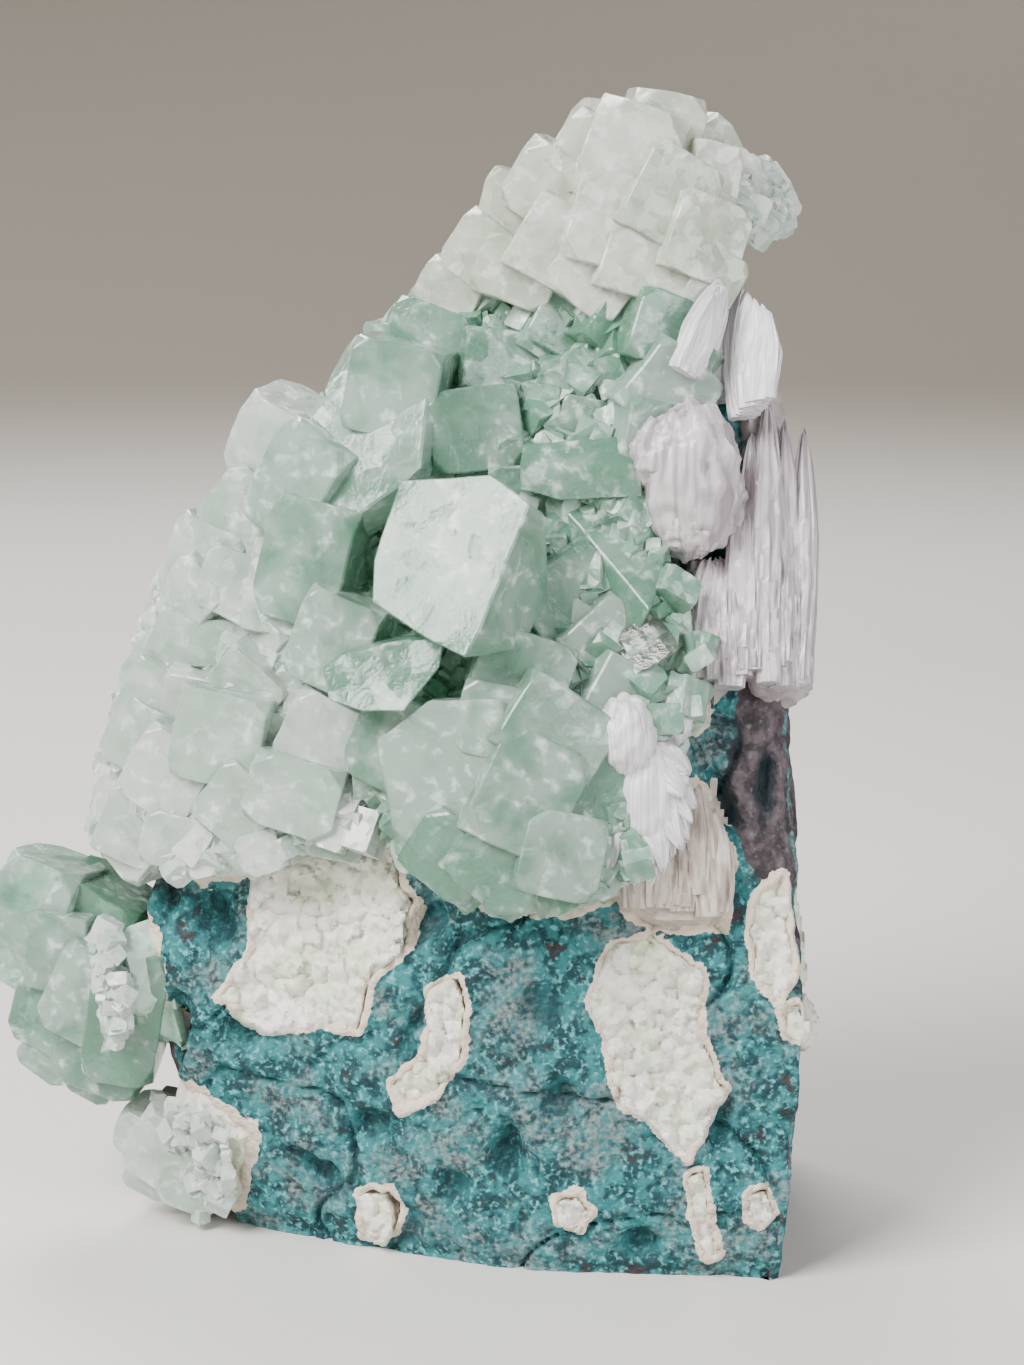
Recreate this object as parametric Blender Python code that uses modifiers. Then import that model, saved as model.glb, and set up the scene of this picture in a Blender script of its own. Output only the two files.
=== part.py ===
"""Apophyllite cluster on a wedge of basalt: green crystals, pale druse, stilbite and vein fillings."""
import itertools
import math
import random

import bmesh
import bpy
import numpy as np
from mathutils import Euler, Matrix, Vector, noise

# All work is done in millimetres and scaled to metres at the end.
MM = 0.001
SEED = 41
GAP = 0.3

# Front sketch: places are tenths of a millimetre across and down, seen from a raised viewpoint.
SKETCH_TARGET = Vector((9.9, 0.0, 54.9))
SKETCH_CENTRE = (512.0, 682.5)
VIEW_DISTANCE = 290.0
VIEW_TILT = math.radians(10.0)

# The finished cluster is moved by this much so that its box stands centred on the origin.
RECENTRE = Vector((2.34, 3.2, 0.0))

# Basalt core.
CORE_CORNERS = [
    (37.4, -22.4, -4.0), (9.0, -19.6, -4.0), (-18.6, -5.8, -4.0), (-19.6, 20.0, -4.0), (36.4, 22.0, -4.0),
    (39.4, -21.8, 30.0), (9.0, -20.8, 34.0), (-28.8, -7.8, 27.0), (-29.6, 18.0, 26.0), (40.4, 22.0, 30.0),
    (40.8, -4.0, 36.0), (-27.4, -4.8, 42.0), (-28.4, 16.0, 42.0),
    (33.8, -14.2, 60.0), (38.9, 2.0, 60.0), (-20.2, 2.0, 63.0), (-21.4, 19.0, 62.0),
    (35.0, -4.0, 86.0), (37.4, 6.0, 86.0), (37.4, 20.0, 84.0), (0.0, 6.5, 86.0), (-0.6, 19.0, 84.0),
    (25.0, 3.5, 106.0), (31.5, 8.0, 105.0), (30.0, 17.0, 104.0), (19.4, 9.0, 104.5),
]
ROCK_CELL = 4.5
ROCK_SKIN = 0.45
ROCK_RELIEF = ((12.0, 1.5), (4.4, 1.3))

VIEW_FORWARD = Vector((0.0, math.cos(VIEW_TILT), -math.sin(VIEW_TILT)))
VIEW_UP = Vector((0.0, math.sin(VIEW_TILT), math.cos(VIEW_TILT)))
VIEWPOINT = SKETCH_TARGET - VIEW_DISTANCE * VIEW_FORWARD


def at(across, down, back):
    """Point at depth back (mm along Y) that is seen at a place of the front sketch."""
    side = Vector(((across - SKETCH_CENTRE[0]) / 10.0, 0.0, 0.0))
    rise = VIEW_UP * ((SKETCH_CENTRE[1] - down) / 10.0)
    ray = SKETCH_TARGET + side + rise - VIEWPOINT
    return VIEWPOINT + ray * ((back - VIEWPOINT.y) / ray.y)


def new_object(name, bm):
    """Mesh object made from a bmesh, outward facing and triangulated."""
    bmesh.ops.recalc_face_normals(bm, faces=bm.faces)
    mesh = bpy.data.meshes.new(name)
    bm.to_mesh(mesh)
    bm.free()
    obj = bpy.data.objects.new(name, mesh)
    bpy.context.scene.collection.objects.link(obj)
    return obj


def hull(points):
    """Convex solid around a set of points."""
    bm = bmesh.new()
    for point in points:
        bm.verts.new(point)
    made = bmesh.ops.convex_hull(bm, input=bm.verts)
    spare = {v for v in made["geom_interior"] + made["geom_unused"] if isinstance(v, bmesh.types.BMVert)}
    bmesh.ops.delete(bm, geom=list(spare), context="VERTS")
    bmesh.ops.recalc_face_normals(bm, faces=bm.faces)
    return bm


def trim(bm, point, normal):
    """Cut away everything beyond a plane and close the cut."""
    geom = list(bm.verts) + list(bm.edges) + list(bm.faces)
    cut = bmesh.ops.bisect_plane(
        bm, geom=geom, dist=1e-5, plane_co=point, plane_no=normal, clear_outer=True
    )
    edges = [e for e in cut["geom_cut"] if isinstance(e, bmesh.types.BMEdge)]
    if edges:
        bmesh.ops.holes_fill(bm, edges=edges, sides=0)


def convex(planes, merge=0.02):
    """Convex solid inside a set of planes, each a unit normal and its distance from the origin."""
    normals = np.array([n for n, _ in planes])
    dists = np.array([d for _, d in planes])
    trios = np.array(list(itertools.combinations(range(len(planes)), 3)))
    faces = normals[trios]
    good = np.abs(np.linalg.det(faces)) > 1e-4
    points = np.linalg.solve(faces[good], dists[trios[good]][:, :, None])[:, :, 0]
    inside = np.all(points @ normals.T <= dists + 1e-4, axis=1)
    corners = []
    for point in points[inside]:
        if all(np.linalg.norm(point - other) > merge for other in corners):
            corners.append(point)
    return hull([Vector(c) for c in corners])


def grown_core(amount):
    """The core's convex solid with every face moved outwards by amount."""
    source = hull([Vector(c) for c in CORE_CORNERS])
    if amount == 0.0:
        return source
    planes = []
    for face in source.faces:
        normal = np.array(face.normal)
        if all(np.dot(normal, other) < 0.99999 for other, _ in planes):
            planes.append((normal, float(np.dot(normal, face.calc_center_median())) + amount))
    source.free()
    return convex(planes, 0.5)


def crystal(spec, grow=0.0):
    """Blocky crystal: a turned box with its corners cut.

    spec is (across, down, back, wide, deep, high, tilt, roll, yaw, corner cut).
    """
    across, down, back, wide, deep, high, tilt, roll, yaw, corner = spec
    half = np.array((wide, deep, high)) / 2.0
    planes = []
    for axis in range(3):
        for sign in (-1.0, 1.0):
            normal = np.zeros(3)
            normal[axis] = sign
            planes.append((normal, half[axis] + grow))
    if corner > 0.0:
        for signs in itertools.product((-1.0, 1.0), repeat=3):
            normal = np.array(signs) / half
            normal /= np.linalg.norm(normal)
            tip = np.array(signs) * half * np.array((1.0 - 3.0 * corner, 1.0, 1.0))
            planes.append((normal, float(normal @ tip) + grow))
    bm = convex(planes)
    turn = Euler((math.radians(tilt), math.radians(roll), math.radians(yaw)), "XYZ").to_matrix()
    place = Matrix.Translation(at(across, down, back)) @ turn.to_4x4()
    bmesh.ops.transform(bm, matrix=place, verts=bm.verts)
    return bm


def offset_outline(outline, amount):
    """Outline moved outwards by amount (tenths of a millimetre), given anticlockwise or clockwise."""
    pts = np.array(outline, dtype=float)
    ahead = np.roll(pts, -1, axis=0) - pts
    area = np.sum(pts[:, 0] * np.roll(pts[:, 1], -1) - np.roll(pts[:, 0], -1) * pts[:, 1])
    sense = 1.0 if area > 0 else -1.0
    out = np.stack([ahead[:, 1], -ahead[:, 0]], axis=1) * sense
    out /= np.linalg.norm(out, axis=1)[:, None]
    both = out + np.roll(out, 1, axis=0)
    both /= np.maximum(np.sum(both * both, axis=1), 0.8)[:, None] / 2.0
    return pts + both * amount


def swept(outline, near, far, far_outline=None):
    """Solid between two depths, bounded by the sight lines through an outline."""
    back = outline if far_outline is None else far_outline
    depth = (lambda d, i: d[i]) if isinstance(near, (list, tuple, np.ndarray)) else (lambda d, i: d)
    bm = bmesh.new()
    front_ring = [bm.verts.new(at(p[0], p[1], depth(near, i))) for i, p in enumerate(outline)]
    back_ring = [bm.verts.new(at(p[0], p[1], depth(far, i))) for i, p in enumerate(back)]
    count = len(front_ring)
    bm.faces.new(front_ring)
    bm.faces.new(back_ring[::-1])
    for i in range(count):
        j = (i + 1) % count
        bm.faces.new((front_ring[i], back_ring[i], back_ring[j], front_ring[j]))
    bmesh.ops.triangulate(bm, faces=bm.faces)
    bmesh.ops.recalc_face_normals(bm, faces=bm.faces)
    return bm


def sound(mesh):
    """Whether a mesh is a closed solid with some volume."""
    bm = bmesh.new()
    bm.from_mesh(mesh)
    good = len(bm.faces) > 3 and all(e.is_manifold for e in bm.edges) and bm.calc_volume(signed=True) > 0.0
    bm.free()
    return good


def boolean(base, tools, operation):
    """Apply one exact Boolean of an object with several others and remove those."""
    group = bpy.data.collections.new("tools")
    bpy.context.scene.collection.children.link(group)
    for tool in tools:
        bpy.context.scene.collection.objects.unlink(tool)
        group.objects.link(tool)
    mod = base.modifiers.new("cut", "BOOLEAN")
    mod.operation = operation
    mod.solver = "EXACT"
    mod.operand_type = "COLLECTION"
    mod.collection = group
    for attempt in range(5):
        mod.use_self = attempt == 4
        bpy.context.view_layer.update()
        done = bpy.data.meshes.new_from_object(base.evaluated_get(bpy.context.evaluated_depsgraph_get()))
        if sound(done):
            break
        for k, tool in enumerate(tools):
            tool.data.transform(Matrix.Translation(Vector((0.0031, -0.0023, 0.0017)) * (1 + k % 3)))
    base.modifiers.clear()
    old = base.data
    base.data = done
    bpy.data.meshes.remove(old)
    for tool in tools:
        bpy.data.objects.remove(tool)
    bpy.data.collections.remove(group)
    return base


def largest_shell(bm):
    """Keep only the biggest closed shell, without cavities and crumbs."""
    bm.verts.ensure_lookup_table()
    seen = set()
    shells = []
    for start in bm.verts:
        if start in seen:
            continue
        stack = [start]
        seen.add(start)
        shell = []
        while stack:
            v = stack.pop()
            shell.append(v)
            for edge in v.link_edges:
                other = edge.other_vert(v)
                if other not in seen:
                    seen.add(other)
                    stack.append(other)
        volume = 0.0
        for face in {f for v in shell for f in v.link_faces}:
            corners = [v.co for v in face.verts]
            for k in range(1, len(corners) - 1):
                volume += corners[0].dot(corners[k].cross(corners[k + 1])) / 6.0
        shells.append((volume, shell))
    shells.sort(key=lambda item: item[0])
    spare = [v for _, shell in shells[:-1] for v in shell]
    bmesh.ops.delete(bm, geom=spare, context="VERTS")


def clean(obj, merge=0.03, flat=0.4):
    """Merge close corners, join coplanar faces, keep one closed shell and triangulate."""
    for reach in (merge, merge / 2, merge / 4, merge / 10, merge / 40, 0.0):
        bm = bmesh.new()
        bm.from_mesh(obj.data)
        bmesh.ops.remove_doubles(bm, verts=bm.verts, dist=reach)
        bmesh.ops.dissolve_degenerate(bm, edges=bm.edges, dist=reach)
        bmesh.ops.dissolve_limit(
            bm, angle_limit=math.radians(flat), verts=bm.verts, edges=bm.edges, use_dissolve_boundaries=False
        )
        bmesh.ops.triangulate(bm, faces=bm.faces)
        bmesh.ops.dissolve_degenerate(bm, edges=bm.edges, dist=reach)
        bmesh.ops.triangulate(bm, faces=bm.faces)
        largest_shell(bm)
        if all(edge.is_manifold for edge in bm.edges):
            break
    bm.to_mesh(obj.data)
    bm.free()
    return obj


def fused(name, solids):
    """One object from many overlapping solids."""
    objects = [new_object(f"{name}_{i}", bm) for i, bm in enumerate(solids)]
    base = objects[0]
    base.name = name
    if len(objects) > 1:
        boolean(base, objects[1:], "UNION")
    return base


def coat(outline, thick, near, far, grow=0.0):
    """Layer of even thickness on the core inside an outline of the sketch, between two depths."""
    layer = new_object("layer", grown_core(thick + grow))
    window = new_object("window", swept(offset_outline(outline, grow * 10.0), near - grow, far + grow))
    boolean(layer, [window], "INTERSECT")
    bm = bmesh.new()
    bm.from_mesh(layer.data)
    bpy.data.objects.remove(layer)
    return bm


def rock():
    """Basalt wedge: the core remeshed, worn inwards by seeded relief, pitted and cut flat underneath."""
    base = new_object("basalt_matrix", hull([Vector(c) for c in CORE_CORNERS]))
    mod = base.modifiers.new("cells", "REMESH")
    mod.mode = "VOXEL"
    mod.voxel_size = ROCK_CELL
    bpy.context.view_layer.update()
    mesh = bpy.data.meshes.new_from_object(base.evaluated_get(bpy.context.evaluated_depsgraph_get()))
    base.modifiers.clear()
    base.data = mesh
    bm = bmesh.new()
    bm.from_mesh(mesh)
    bm.normal_update()
    moves = []
    for v in bm.verts:
        bare = min(max((v.co.x + 26.0) / 8.0, 0.0), 1.0)
        if v.co.y < 0.0:
            bare *= min(max((46.0 - v.co.z + 0.5 * max(v.co.x - 20.0, 0.0)) / 8.0, 0.12), 1.0)
        depth = ROCK_SKIN
        for scale, height in ROCK_RELIEF:
            value = noise.noise(v.co / scale + Vector((SEED, 3.1 * scale, 7.7)))
            depth += height * (0.5 + 0.5 * value) * bare
        moves.append(v.co - v.normal * depth)
    for v, co in zip(bm.verts, moves):
        v.co = co
    bmesh.ops.triangulate(bm, faces=bm.faces)
    trim(bm, Vector((0.0, 0.0, 0.0)), Vector((0.0, 0.0, -1.0)))
    bm.to_mesh(base.data)
    bm.free()
    return base


# Pits of the front face: (across, down, back, wide, deep, high, roll).
PITS = [
    (505, 1160, -18.6, 4.6, 6.0, 7.8, 8), (232, 1036, -9.6, 5.8, 6.0, 5.0, 0),
    (163, 1040, -7.0, 4.0, 6.0, 10.5, 8), (420, 925, -16.2, 4.4, 5.4, 6.8, 30),
    (560, 1105, -19.2, 5.6, 4.4, 4.6, -20), (310, 1175, -12.2, 8.0, 4.6, 3.2, 38),
    (720, 1130, -20.0, 3.4, 4.4, 7.0, 10), (640, 1250, -19.6, 6.0, 4.4, 4.0, 0),
    (205, 915, -8.4, 5.0, 4.0, 8.5, -20), (772, 780, -14.0, 3.4, 4.0, 9.0, 5),
    (724, 800, -16.0, 3.0, 4.6, 9.0, -25), (370, 1130, -15.4, 6.0, 4.0, 4.4, 20),
    (540, 1010, -19.0, 5.0, 3.6, 6.4, -30), (450, 1190, -17.2, 4.6, 4.0, 4.4, 0),
]

# Vein fillings in the rock face: outline on the sketch, depth of the face there, sunk by, thickness.
FILLINGS = {
    "filling_upper_left": (
        [(252, 868), (330, 846), (386, 852), (406, 905), (396, 950), (366, 985), (352, 1034), (318, 1024),
         (276, 1034), (216, 1000), (250, 950)], 1.9, 4.5),
    "filling_right": (
        [(612, 950), (650, 938), (698, 972), (700, 1040), (722, 1092), (688, 1162), (652, 1124), (622, 1104),
         (606, 1040), (592, 1004)], 1.9, 4.5),
    "filling_right_edge": (
        [(760, 892), (786, 876), (792, 930), (798, 972), (780, 1000), (757, 975), (752, 930)], 1.8, 3.6),
    "filling_hook": (
        [(424, 992), (452, 984), (462, 1010), (456, 1058), (432, 1096), (400, 1112), (390, 1088), (420, 1062),
         (430, 1030)], 1.7, 3.2),
    "filling_sliver": ([(690, 1180), (702, 1176), (708, 1220), (719, 1256), (706, 1260), (694, 1222)], 1.6, 2.6),
    "filling_low_left": ([(358, 1198), (384, 1196), (392, 1220), (384, 1240), (362, 1236)], 1.6, 2.6),
    "filling_low_middle": ([(556, 1206), (576, 1198), (590, 1216), (578, 1230), (558, 1226)], 1.6, 2.4),
    "filling_low_right": ([(750, 1198), (762, 1194), (772, 1216), (762, 1230), (750, 1220)], 1.6, 2.4),
    "filling_right_small": ([(786, 1012), (800, 1006), (810, 1026), (800, 1042), (786, 1034)], 1.6, 2.4),
}

# Outlines on the sketch of the areas that each growth covers.
GREEN_AREA = [
    (300, 372), (350, 318), (440, 306), (560, 300), (640, 292), (700, 318), (712, 372), (668, 412), (652, 470),
    (666, 560), (706, 640), (700, 720), (640, 740), (640, 880), (560, 912), (480, 900), (404, 846), (366, 778),
    (300, 690), (262, 560), (258, 440),
]
PALE_AREA = [
    (258, 430), (262, 560), (300, 690), (366, 778), (392, 842), (330, 842), (256, 862), (196, 872), (150, 842),
    (60, 870), (60, 600), (180, 430),
]
CRUST_AREA = [
    (742, 398), (770, 380), (811, 380), (811, 700), (760, 690), (735, 662), (716, 700), (690, 660), (690, 560),
    (742, 556),
]
LEDGE_AREA = [(650, 800), (700, 790), (724, 850), (722, 922), (668, 926), (630, 912), (626, 880)]
OUTLIER_AREA = [(100, 905), (140, 930), (146, 985), (150, 1040), (140, 1076), (60, 1076), (60, 905)]
FOOT_AREA = [(150, 1086), (200, 1104), (240, 1140), (232, 1206), (60, 1206), (60, 1086)]
SUMMIT_AREA = [
    (420, 306), (560, 296), (640, 288), (700, 296), (722, 262), (742, 236), (720, 130), (660, 40), (560, 60),
    (400, 200), (330, 310),
]

# Crystals: (across, down, back, wide, deep, high, tilt, roll, yaw, corner cut).
GREEN_CRYSTALS = [
    (462, 568, -17.0, 14.5, 14, 14.5, -10, 22, -20, 0.13), (362, 452, -4.5, 12.6, 14, 17, -10, 26, -24, 0.17),
    (402, 388, -4.0, 9, 9, 9, 0, 12, -12, 0.1), (318, 484, -3.0, 8.0, 11, 11, -8, 30, -30, 0.14),
    (320, 560, -6.5, 9, 9, 12, -5, 12, -20, 0.14), (470, 430, -4.5, 9, 9, 8, -6, -6, 8, 0.12),
    (500, 370, -1.5, 9, 8, 7, -8, 10, 14, 0.14), (430, 345, 1.0, 8, 8, 7, -12, 20, -10, 0.12),
    (560, 330, -0.5, 7.5, 8, 6.5, -10, 30, 12, 0.12), (610, 326, -2.5, 7, 7, 7, -6, 38, 25, 0.1),
    (655, 335, -4.5, 8, 8, 7, -8, 20, 20, 0.12), (660, 390, -6.5, 8, 8, 8, 0, 40, 15, 0.12),
    (640, 430, -7.5, 7, 8, 6, 0, 12, 25, 0.1), (582, 416, -6.0, 4.2, 5, 4, 0, 10, 0, 0.1),
    (578, 470, -9.0, 13.5, 9, 6.2, 3, 2, 12, 0.04), (606, 562, -10.5, 13, 12, 14, -5, -38, 34, 0.08),
    (560, 600, -12.0, 9, 8, 9, -5, -30, 20, 0.1), (641, 645, -16.5, 6.6, 6.6, 5.6, 20, 30, 28, 0.0),
    (610, 690, -16.0, 6.5, 7, 6.5, 0, 30, 20, 0.04), (668, 700, -14.0, 5, 6, 7, 0, 35, 20, 0.05),
    (384, 678, -17.5, 12.5, 9, 8.0, -8, 4, -12, 0.2), (345, 640, -11.0, 8, 8, 9, -5, 20, -20, 0.12),
    (440, 785, -18.5, 13.5, 12, 18, -4, -8, -6, 0.2), (405, 740, -15.5, 8, 8, 9, -6, 20, -20, 0.15),
    (520, 665, -17.5, 9, 8, 6.5, -5, 20, 5, 0.12), (545, 730, -20.0, 10, 9, 8, -8, 35, 12, 0.12),
    (580, 780, -19.5, 9, 8, 9, -4, 12, 20, 0.14), (520, 790, -21.5, 9, 9, 11, -6, 25, 8, 0.15),
    (420, 344, 10.5, 8, 9, 7, 0, 38, -10, 0.14), (378, 384, 12.0, 8, 9, 7, 0, 30, 12, 0.14),
    (500, 858, -22.0, 9, 8, 8, -6, 40, 0, 0.16), (552, 850, -22.0, 8, 8, 8, -4, 15, 14, 0.14),
    (584, 846, -19.5, 7, 8, 8, -2, 30, 20, 0.12), (455, 850, -20.5, 8, 8, 7, -4, 35, -10, 0.15),
    (600, 640, -14.0, 7, 7, 7, -5, 50, 10, 0.1), (500, 720, -20.0, 7, 7, 7, -8, 10, -8, 0.12),
]
OUTLIER_CRYSTALS = [
    (50, 902, 1.0, 8.5, 9, 9.5, -6, 14, -20, 0.16), (66, 945, -2.0, 6, 7, 8, 0, 8, -10, 0.05),
    (96, 920, 1.0, 9, 9, 9, 0, 30, -15, 0.12), (60, 1000, 0.0, 7, 8, 8, 6, 20, -15, 0.14),
    (104, 985, -2.5, 9, 9, 10, 4, 25, -10, 0.12), (62, 1040, 1.0, 6, 7, 6, 8, 35, -10, 0.12),
    (112, 1044, -1.0, 9, 9, 7, 10, 20, -10, 0.14), (132, 1000, -1.0, 7.5, 12, 14, 4, 10, 0, 0.12),
    (98, 1070, 1.0, 5, 6, 4, 10, 30, 0, 0.14), (30, 940, 3.0, 6, 7, 8, 0, 20, -25, 0.12),
]
FOOT_CRYSTALS = [
    (172, 1140, -3.5, 7, 7, 7.5, 6, 30, -14, 0.14), (196, 1176, -4.5, 6, 6, 5, 8, 20, -10, 0.14),
    (150, 1126, -1.0, 5, 6, 5, 8, 20, -20, 0.12), (205, 1130, -5.5, 5, 5, 5, 0, 30, -10, 0.14),
    (160, 1166, -1.0, 5, 6, 4, 8, 20, -20, 0.12),
]
SUMMIT_CRYSTALS = [
    (628, 160, -1.5, 9, 9, 10, -6, 20, 0, 0.2), (660, 130, 1.0, 7, 8, 7, 0, 10, 10, 0.16),
    (594, 154, 1.0, 6.6, 8, 6.6, 0, 35, -10, 0.16), (556, 188, 1.5, 8, 9, 7.4, 0, 30, -12, 0.16),
    (520, 206, 3.0, 6, 8, 6.4, 0, 15, -15, 0.14), (494, 252, 3.0, 7, 9, 6.4, 0, 35, -15, 0.14),
    (460, 290, 4.0, 6.4, 9, 5.4, 0, 25, -15, 0.14), (560, 250, -2.0, 9, 8, 8, -6, 30, 0, 0.14),
    (610, 225, -3.0, 9, 8, 9, -6, 15, 8, 0.14), (660, 200, -3.0, 8, 8, 9, -4, 30, 14, 0.12),
    (690, 240, -3.0, 8, 8, 8, -4, 20, 24, 0.12), (640, 270, -4.0, 9, 7, 6, -6, 20, 8, 0.14),
    (520, 275, -0.5, 8, 8, 6, -6, 20, -8, 0.14), (698, 190, 0.0, 5, 8, 9, 0, 12, 20, 0.12),
    (590, 280, -3.0, 8, 7, 6, -6, 40, 0, 0.14), (705, 280, -3.5, 5, 6, 6, 0, 30, 20, 0.12),
    (612, 152, 10.0, 9, 9, 7, 5, 30, 20, 0.14), (556, 204, 11.0, 9, 9, 7, 5, 30, 10, 0.14),
    (655, 140, 9.0, 8, 8, 6, 0, 12, 30, 0.14), (500, 258, 11.5, 9, 9, 7, 0, 38, 15, 0.14),
    (456, 304, 12.0, 8, 8, 6, 0, 30, -10, 0.14), (700, 158, 8.0, 6, 8, 7, 0, -30, 20, 0.14),
]


def pale_crystals():
    """Sugary blocks of the pale druse, on a loose grid with seeded size and turn."""
    rng = random.Random(SEED)
    specs = [
        (262, 516, 0.0, 8.5, 9, 8, -6, 38, -24, 0.12), (222, 560, 1.0, 8, 9, 8, -4, 20, -24, 0.1),
        (176, 664, 0.0, 6, 8, 7, 0, 40, -25, 0.1), (142, 790, 0.0, 6, 8, 8, 0, 20, -25, 0.12),
        (228, 735, -9.5, 9, 8, 9, -4, 10, -12, 0.12), (180, 770, -7.5, 8, 8, 8, -2, 30, -18, 0.12),
        (300, 790, -13.0, 9, 8, 7, -2, 15, -8, 0.14), (245, 800, -11.5, 7, 7, 7, 0, 38, -10, 0.1),
        (330, 735, -11.0, 8, 8, 8, -4, 25, -12, 0.14), (190, 834, -9.0, 8, 7, 5.5, 4, 12, -10, 0.12),
    ]
    rows = [
        (590, (206, 246, 290)), (640, (186, 225, 268, 305)), (690, (168, 208, 254, 300)),
        (740, (156, 276)), (820, (146, 230, 285, 340)), (440, (284,)), (846, (142,)),
    ]
    for down, places in rows:
        for across in places:
            back = 9.5 - 0.030 * (across - 60) - 0.0265 * (down - 330)
            size = rng.uniform(5.2, 7.6)
            specs.append((
                across + rng.uniform(-8, 8), down + rng.uniform(-8, 8), back,
                size, size * 1.15, size * rng.uniform(0.8, 1.2),
                rng.uniform(-20, 15), rng.uniform(0, 45), rng.uniform(-40, 5), rng.uniform(0.05, 0.16),
            ))
    slope = [(284, 506, 12), (252, 546, 14), (222, 596, 12), (196, 650, 15), (180, 706, 12), (164, 764, 15), (330, 446, 14)]
    for across, down, back in slope:
        size = rng.uniform(6.5, 8.5)
        specs.append((across, down, back, size, size, size, rng.uniform(-20, 20), rng.uniform(10, 50), -30, 0.12))
    return specs


def blade(tip, foot, wide, thick, yaw, grow=0.0):
    """Flat tapering blade between two points."""
    axis = (tip - foot).normalized()
    side = axis.cross(Vector((math.sin(yaw), math.cos(yaw), 0.0))).normalized()
    face = side.cross(axis).normalized()
    points = []
    for centre, w, t in ((tip + axis * grow, wide * 0.35, thick * 0.5), (tip.lerp(foot, 0.28), wide * 0.9, thick),
                         (foot - axis * grow, wide * 0.8, thick)):
        for sw in (-0.5, 0.5):
            for st in (-0.5, 0.5):
                points.append(centre + side * (w + 2 * grow) * sw + face * (t + 2 * grow) * st)
    return hull(points)


def blades(grow=0.0):
    """Two sprays of stilbite blades leaning together like a roof."""
    out = []
    for i in range(4):
        shift = 1.5 * i
        out.append(blade(at(725 - 2 * i, 262 + 9 * i, -3.5 - shift), at(694 - 4 * i, 372, -8.5 - shift * 0.6),
                         5.0, 1.7, 0.25 + 0.12 * i, grow))
    for i in range(4):
        shift = 1.5 * i
        out.append(blade(at(738 + 8 * i, 284 + 8 * i, -3.0 - shift), at(745 + 5 * i, 418 - 5 * i, -9.5 - shift * 0.4),
                         5.4, 1.7, -0.35 - 0.15 * i, grow))
    out.append(blade(at(726, 272, -1.0), at(722, 400, -6.5), 8.5, 3.0, 0.0, grow))
    return out


def ball(across, down, back, radius, rings, grow=0.0, stretch=(1.0, 1.0, 1.0), rough=0.08):
    """Rounded lump with seeded facets."""
    bm = bmesh.new()
    bmesh.ops.create_icosphere(bm, subdivisions=rings, radius=1.0)
    centre = at(across, down, back)
    for v in bm.verts:
        reach = radius * (1.0 + rough * noise.noise(v.co * 2.3 + Vector((across, down, SEED)) * 0.37)) + grow
        v.co = centre + Vector((v.co.x * stretch[0], v.co.y * stretch[1], v.co.z * stretch[2])) * reach
    return bm


def fan(grow=0.0):
    """White radiating fan: wedge plates spread from one foot, with round lobes at the top."""
    foot = at(634, 752, -18.5)
    rim = [(688, 768), (692, 806), (684, 842), (664, 872), (636, 886), (608, 874), (588, 848)]
    out = []
    for i, (across, down) in enumerate(rim):
        tip = at(across, down, -23.5 + 1.2 * (i % 2))
        out.append(blade(tip, foot + Vector((0.0, 0.6 * (i % 2), 0.0)), 7.2, 6.0, 0.0, grow))
    out.append(ball(626, 735, -20.5, 4.0, 2, grow, (0.75, 0.9, 1.0)))
    out.append(ball(673, 716, -17.0, 3.0, 1, grow, (0.7, 1.0, 1.0)))
    out.append(ball(648, 800, -20.5, 6.0, 2, grow, (0.7, 0.6, 1.2), 0.15))
    out.append(coat([(612, 730), (680, 720), (690, 800), (660, 860), (600, 850)], 2.0, -50, 2, grow))
    return out


def crust(grow=0.0):
    """Grey-lilac stilbite crust of long upright plates."""
    out = [coat(CRUST_AREA, 1.8, -50, -1.0, grow)]
    for i in range(8):
        across = 704 + 12 * i
        top = (560, 552, 566, 420, 402, 434, 410, 428)[i]
        low = (690, 672, 664, 668, 684, 676, 690, 672)[i]
        lean = 0.037 * (low - top)
        foot = face_depth((across, low)) - 1.4
        out.append(blade(at(across + 4, top, foot + lean), at(across, low, foot), 4.6, 4.2, 0.3 * (i % 3 - 1), grow))
    return out


def ledge(grow=0.0):
    """Beige fibrous crust below the fan."""
    out = [coat(LEDGE_AREA, 1.6, -50, 4, grow)]
    for i in range(5):
        across = 640 + 18 * i
        out.append(blade(at(across + 5, 790 + 10 * (i % 2), -18.0), at(across, 905 + 10 * ((i + 1) % 2), -20.2), 4.6, 3.6,
                         0.2 * (i % 3 - 1), grow))
    return out


def filled_pocket(name, outline, sunk, thick, face_depth):
    """A vein filling and the slightly larger pocket that holds it."""
    inner = offset_outline(outline, -1.5)
    near = [face_depth(p) + sunk for p in outline]
    far = [d + thick for d in near]
    piece = new_object(name, swept(outline, near, far, inner))
    wide = offset_outline(outline, GAP * 10.0 + 1.0)
    open_near = [d - sunk - 6.0 for d in near]
    open_far = [d + GAP + 0.1 for d in far]
    pocket = new_object(name + "_pocket", swept(wide, open_near, open_far, offset_outline(outline, GAP * 10.0)))
    return piece, pocket


def face_depth(place):
    """Depth at which a sight line through a place of the sketch meets the plain core."""
    start = VIEWPOINT
    aim = (at(place[0], place[1], 0.0) - start).normalized()
    hit = CORE_TREE.ray_cast(start, aim)[0]
    return hit.y if hit is not None else 0.0


def core_tree():
    """Search tree of the plain core for sight lines."""
    from mathutils.bvhtree import BVHTree
    bm = hull([Vector(c) for c in CORE_CORNERS])
    tree = BVHTree.FromBMesh(bm)
    bm.free()
    return tree


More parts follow.
